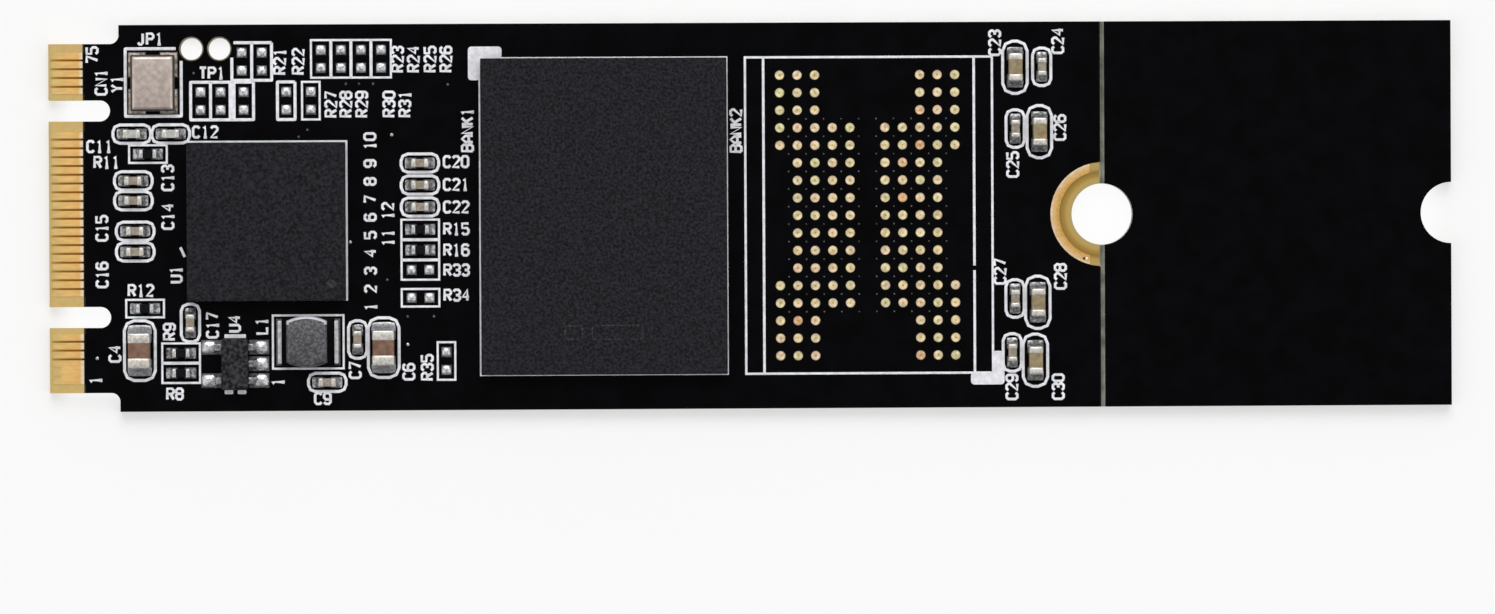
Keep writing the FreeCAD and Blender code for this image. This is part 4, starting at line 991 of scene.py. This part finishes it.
def draw(shape, lines, width, closed=False):
    """Adds pen strokes of a width in mm to a shape, flat on the card's top."""
    pen = bpy.data.curves.new("pen", "CURVE")
    pen.dimensions = "3D"
    pen.bevel_depth = width / 2 * MM
    pen.bevel_resolution = 1
    pen.use_fill_caps = True
    for line in lines:
        spline = pen.splines.new("POLY")
        spline.points.add(len(line) - 1)
        spline.use_cyclic_u = closed
        for point, (x, y) in zip(spline.points, line):
            point.co = (x * MM, y * MM, 0.0, 1.0)
    drawn = bpy.data.objects.new("pen", pen)
    bpy.context.scene.collection.objects.link(drawn)
    strokes = bpy.data.meshes.new_from_object(drawn.evaluated_get(bpy.context.evaluated_depsgraph_get()))
    bpy.data.objects.remove(drawn)
    before = len(shape.verts)
    shape.from_mesh(strokes)
    bpy.data.meshes.remove(strokes)
    shape.verts.ensure_lookup_table()
    fresh = shape.verts[before:]
    bmesh.ops.scale(shape, vec=(1.0, 1.0, INK_RISE / (width / 2)), verts=fresh)
    bmesh.ops.translate(shape, vec=(0, 0, CARD_TOP * MM), verts=fresh)


shape = bmesh.new()
draw(shape, pen_lines, PEN)
bmesh.ops.remove_doubles(shape, verts=shape.verts, dist=SAME_POINT * MM)
add_piece("printed_labels", shape, ink, "legend_ink")

# %% [markdown]
# The same pen draws the frames round the parts. Capacitors have frames with round corners, which
# tells them from resistors at a glance. Resistors and spare lands that stand side by side share the
# line between them. Where a frame would run into a jumper hole, the print stops short of it, so
# such a frame is walked in small steps and the steps near a hole are left out.

# %% Frames round the capacitors
FRAME_SIZES = {"large": (3.4, 1.75, 0.55), "medium": (2.98, 1.4, 0.55), "small": (2.14, 1.04, 0.38)}


def frame_line(x, y, along_x, along_y, radius=0.0):
    """Points of a frame's middle line, with corners of a radius in mm."""
    points = []
    for quarter, (side_x, side_y) in enumerate(((1, 1), (-1, 1), (-1, -1), (1, -1))):
        middle_x = x + side_x * (along_x / 2 - radius)
        middle_y = y + side_y * (along_y / 2 - radius)
        for step in range(3 if radius else 1):
            angle = math.radians(90 * quarter + 45 * step)
            points.append((middle_x + radius * math.cos(angle), middle_y + radius * math.sin(angle)))
    return points


frames = []
for chip in chips.values():
    if not chip.resistor:
        along, across, radius = FRAME_SIZES[chip.case]
        sides = (across, along) if chip.upright else (along, across)
        frames.append(frame_line(chip.middle.x, chip.middle.y, *sides, radius))
print("capacitor frames:", len(frames))

# %% Frames round the resistors and the spare lands
CELL_LENGTH = 2.14
CELL_WIDTH = 1.0
CELL_REACH = 0.56     # mm from the middle of a row's last cell to the row's end
SHARE_WITHIN = 1.35   # cells nearer than this share a line
SAME_ROW = 0.25
WIDE_WALL = 1.2       # between cells further apart than this the line is a filled strip
cells = [(chip.middle.xy, chip.upright) for chip in chips.values() if chip.resistor]
middles = [(low + high).xy / 2 for low, high in separate_boxes("spare_component_pads")]
for first in middles:
    for second in middles:
        gap = second - first
        # Two spare lands about a millimetre apart, along X or Y, make one cell.
        if 0.9 < gap.x + gap.y < 1.1 and abs(min(gap)) < 0.05:
            cells.append(((first + second) / 2, gap.y > gap.x))

open_lines = []
wide_walls = []
for upright in (True, False):
    # Across runs over a row of cells side by side, along runs the length of each.
    spots = [(spot.x, spot.y) if upright else (spot.y, spot.x) for spot, stands in cells if stands == upright]
    rows = []
    for across, along in sorted(spots, key=lambda spot: (round(spot[1], 1), spot[0])):
        if rows and abs(rows[-1][-1][1] - along) < SAME_ROW and across - rows[-1][-1][0] < SHARE_WITHIN:
            rows[-1].append((across, along))
        else:
            rows.append([(across, along)])
    for row in rows:
        reach = CELL_WIDTH / 2 if len(row) == 1 else CELL_REACH
        start = row[0][0] - reach
        end = row[-1][0] + reach
        middle = (start + end) / 2
        along = row[0][1]
        frames.append(frame_line(middle, along, end - start, CELL_LENGTH) if upright else
                      frame_line(along, middle, CELL_LENGTH, end - start))
        for (first, _), (second, _) in zip(row, row[1:]):
            wall = (first + second) / 2
            line = [(wall, along - CELL_LENGTH / 2), (wall, along + CELL_LENGTH / 2)]
            open_lines.append(line if upright else [(y, x) for x, y in line])
            if upright and second - first > WIDE_WALL:
                wide_walls.append((wall, along))
    print("rows of cells:", [len(row) for row in rows])

# %% Frames round the crystal, the inductor, the packages and the empty site
PRINT_SHIFT = 0.08         # the site's print stands a little to the right of its lands
SITE_HALF_X = 7.05
SITE_HALF_Y = 9.02
RAIL = 6.01                # mm from the site's middle to either rail
RAIL_GAP = (-3.17, -2.9)   # one rail has a gap for a through-hole


def box_frame(node, left, right, bottom, top):
    """A frame at so many mm outside each side of a node's box."""
    low, high = box_mm(node)
    return frame_line((low.x - left + high.x + right) / 2, (low.y - bottom + high.y + top) / 2,
                      high.x - low.x + left + right, high.y - low.y + bottom + top)


frames.append(box_frame("crystal_base", 0.31, 0.36, 0.28, 0.36))
frames.append(box_frame("inductor_terminals", 0.29, 0.29, 0.28, 0.29))
frames.append(box_frame("controller_mould_cap", -0.05, 0.05, -0.05, 0.06))
frames.append(box_frame("flash_mould_cap", 0.04, 0.025, 0.01, 0.03))
site_x = site_middle.x + PRINT_SHIFT
site_y = site_middle.y
rail_start = site_y - SITE_HALF_Y
rail_end = site_y + SITE_HALF_Y
site_frame = frame_line(site_x, site_y, 2 * SITE_HALF_X, 2 * SITE_HALF_Y)
rails = [[(site_x - RAIL, rail_start), (site_x - RAIL, rail_end)],
         [(site_x + RAIL, rail_start), (site_x + RAIL, RAIL_GAP[0])],
         [(site_x + RAIL, RAIL_GAP[1]), (site_x + RAIL, rail_end)]]
print("frames:", len(frames))

# %% Frames that stop short of a jumper hole
HOLE_NEAR = 4.0         # frames with a corner this near, in mm, are walked
HOLE_CLEARANCE = 0.86
STEP = 0.05
holes = [(low + high).xy / 2 for low, high in separate_boxes("jumper_hole_sleeves")]
whole_frames = []
for points in frames:
    if not any(math.dist(point, hole) < HOLE_NEAR for point in points for hole in holes):
        whole_frames.append(points)
        continue
    run = []
    for start, end in zip(points, points[1:] + points[:1]):
        count = max(1, round(math.dist(start, end) / STEP))
        for step in range(count + 1):
            spot = tuple(a + (b - a) * step / count for a, b in zip(start, end))
            if min(math.dist(spot, hole) for hole in holes) < HOLE_CLEARANCE:
                if len(run) > 1:
                    open_lines.append(run)
                run = []
            elif not run or math.dist(run[-1], spot) > STEP / 2:
                run.append(spot)
    if len(run) > 1:
        open_lines.append(run)
print("closed frames:", len(whole_frames), "open lines:", len(open_lines))

# %% Filled marks: package corners, the strip between spare lands and the regulator's ticks
LINE = 0.17
SITE_LINE = 0.185
RAIL_LINE = 0.145
STRIP = 0.39
TICK = 0.24
SLAB_RISE = 0.018
ARM = 0.7          # width of a corner mark's two arms
ARM_REACH = 1.92   # and their length
ARM_CORNER = 0.19
MARK_X = 7.0       # from the site's middle to the outer corner of its mark
MARK_Y = -9.0


def ink_slab(shape, x, y, along_x, along_y, corner, rise=SLAB_RISE):
    """A flat slab of ink with round corners, in mm."""
    slab = block((along_x, along_y, rise))
    uprights = [edge for edge in slab.edges if abs(edge.verts[0].co.z - edge.verts[1].co.z) > rise / 2]
    round_edges(slab, uprights, corner, 3)
    stamp(shape, slab, (x, y, CARD_TOP))


shape = bmesh.new()
draw(shape, whole_frames, LINE, closed=True)
draw(shape, open_lines, LINE)
draw(shape, [site_frame], SITE_LINE, closed=True)
draw(shape, rails, RAIL_LINE)
flash_low, flash_high = box_mm("flash_mould_cap")
inward = ARM - ARM_REACH / 2
for x, y, side in ((flash_low.x, flash_high.y, -1), (site_x + MARK_X, site_y + MARK_Y, 1)):
    ink_slab(shape, x + side * inward, y - side * ARM / 2, ARM_REACH, ARM, ARM_CORNER)
    # The second arm is a little higher, so that the two tops are not in one plane where they cross.
    ink_slab(shape, x + side * ARM / 2, y - side * inward, ARM, ARM_REACH, ARM_CORNER, 0.02)
for x, y in wide_walls:
    ink_slab(shape, x, y, STRIP, CELL_LENGTH, 0.02, 0.012)
ink_slab(shape, body_x, body_high.y + 0.09, 1.22, TICK, 0.04)
for side in (-1, 1):
    ink_slab(shape, body_x + side * 0.37, body_low.y - 0.13, 0.5, TICK, 0.08)
add_piece("printed_frames", shape, ink, "legend_ink", "legend_print")

# %% [markdown]
# Tracks pass from face to face through plated holes a quarter of a millimetre across. The mask
# covers most of them, and a few show as bright specks. Each is a low button of tin. Between the
# lands of the empty site the buttons are under mask and only just show.

# %% Plated through-holes
BUTTONS = ((-20.5, 4.7), (-22.9, -1.4), (-19.65, -7.25), (-37.3, -7.95))
MASKED_BUTTONS = ((-23.1, 7.6), (-22.35, 7.6), (-21.55, 7.6), (-17.3, 7.55), (-25.3, 5.0), (-25.8, 4.6),
                  (-19.65, -5.65), (-18.15, -5.65), (-20.8, -3.55), (-31.75, 8.25))
BUTTON_BASE = CARD_TOP - 0.005


def add_buttons(shape, places, base, radius, rise, sides=12):
    """A flat dome at each place, in mm."""
    button = bmesh.new()
    bmesh.ops.create_cone(button, cap_ends=True, segments=sides, radius1=radius, radius2=0.6 * radius,
                          depth=rise)
    stamp(shape, button, *[(x, y, base + rise / 2) for x, y in places])


shape = bmesh.new()
add_buttons(shape, BUTTONS, BUTTON_BASE, radius=0.1, rise=0.03)
add_piece("through_hole_tin", shape, tin, "tinned_copper")
# Mask that closes a hole is thin there and lets some of the grey tin through.
tented = mottled("solder_mask_tented", "#16161e", "#565664", 0.8, {"Roughness": 0.35})
# In the empty site a hole stands in the middle of every four lands.
amid_lands = [(site_middle.x + (column + 0.5) * LAND_PITCH, site_middle.y + (row + 0.5) * LAND_PITCH)
              for column in range(-5, 5) for row in range(-6, 6)]
shape = bmesh.new()
add_buttons(shape, MASKED_BUTTONS, BUTTON_BASE, radius=0.08, rise=0.02)
add_buttons(shape, amid_lands, BUTTON_BASE, radius=0.06, rise=0.012, sides=8)
add_piece("through_hole_mask", shape, tented, "solder_mask")

# %% [markdown]
# The copper arc has one pit with a painted highlight on its rim beside it. Both are buttons too, so
# low that they read as a dark and a light speck: the pit's painted shade and the painted highlight.

# %% Pit in the copper arc and the highlight on its rim, both painted
# The pit is painted dark brown for the shade in it, and the highlight on its rim a pale gold.
pit = mottled("copper_pit_painted_shade", "#1c1006", "#2e1c0a", 0.1, {"Roughness": 0.6})
pit_highlight = mottled("gold_pit_highlight_painted", "#fff0d6", "#fffaf0", 0.1, {"Metallic": 0.5, "Roughness": 0.3})
copper_base = box_mm("screw_ground_pad_top")[1].z - 0.004
for name, material, x, y, radius, rise in (("ground_copper_pit", pit, 18.96, -2.53, 0.1, 0.008),
                                           ("ground_copper_pit_highlight", pit_highlight, 19.11, -2.54, 0.08, 0.012)):
    shape = bmesh.new()
    add_buttons(shape, [(x, y)], copper_base, radius, rise)
    add_piece(name, shape, material, "contact_gold")

# %% [markdown]
# A package carries marks that a laser burned into the mould compound. Here they are two blank
# windows and the round dot that shows where pin one is. Laser light scorches the epoxy matt and a
# shade paler, so thin strips of a paler compound do.

# %% Laser marks on the packages
scorched = mottled("epoxy_moulding_compound_lasered", "#232325", "#434346", 0.15,
                   {"Roughness": 0.75, "Specular IOR Level": 0.1}, detail=4.0)
MARK_LINE = 0.07
MARK_RISE = 0.004
MARK_SINK = 0.001
WINDOWS = ((-10.2, -6.6, 0.97, 0.75), (-7.7, -6.6, 2.85, 0.78))   # middle, length and height, in mm
base = flash_high.z - MARK_SINK
shape = bmesh.new()
for x, y, length, height in WINDOWS:
    level_line = rounded_block((length, MARK_LINE, MARK_RISE), 0.001, 1)
    stamp(shape, level_line, (x, y + height / 2, base), (x, y - height / 2, base))
    upright_line = rounded_block((MARK_LINE, height + MARK_LINE, MARK_RISE), 0.001, 1)
    stamp(shape, upright_line, (x + length / 2, y, base), (x - length / 2, y, base))
dot_base = box_mm("controller_mould_cap")[1].z - MARK_SINK
add_buttons(shape, [(-23.95, -3.75)], dot_base, radius=0.27, rise=0.005)
add_piece("laser_marks", shape, scorched, "mould_compound")

# %% Bounds of the imported solids, in mm
for corner, value in (("low", cad_low), ("high", cad_high)):
    print(corner, [round(v / MM, 3) for v in value])
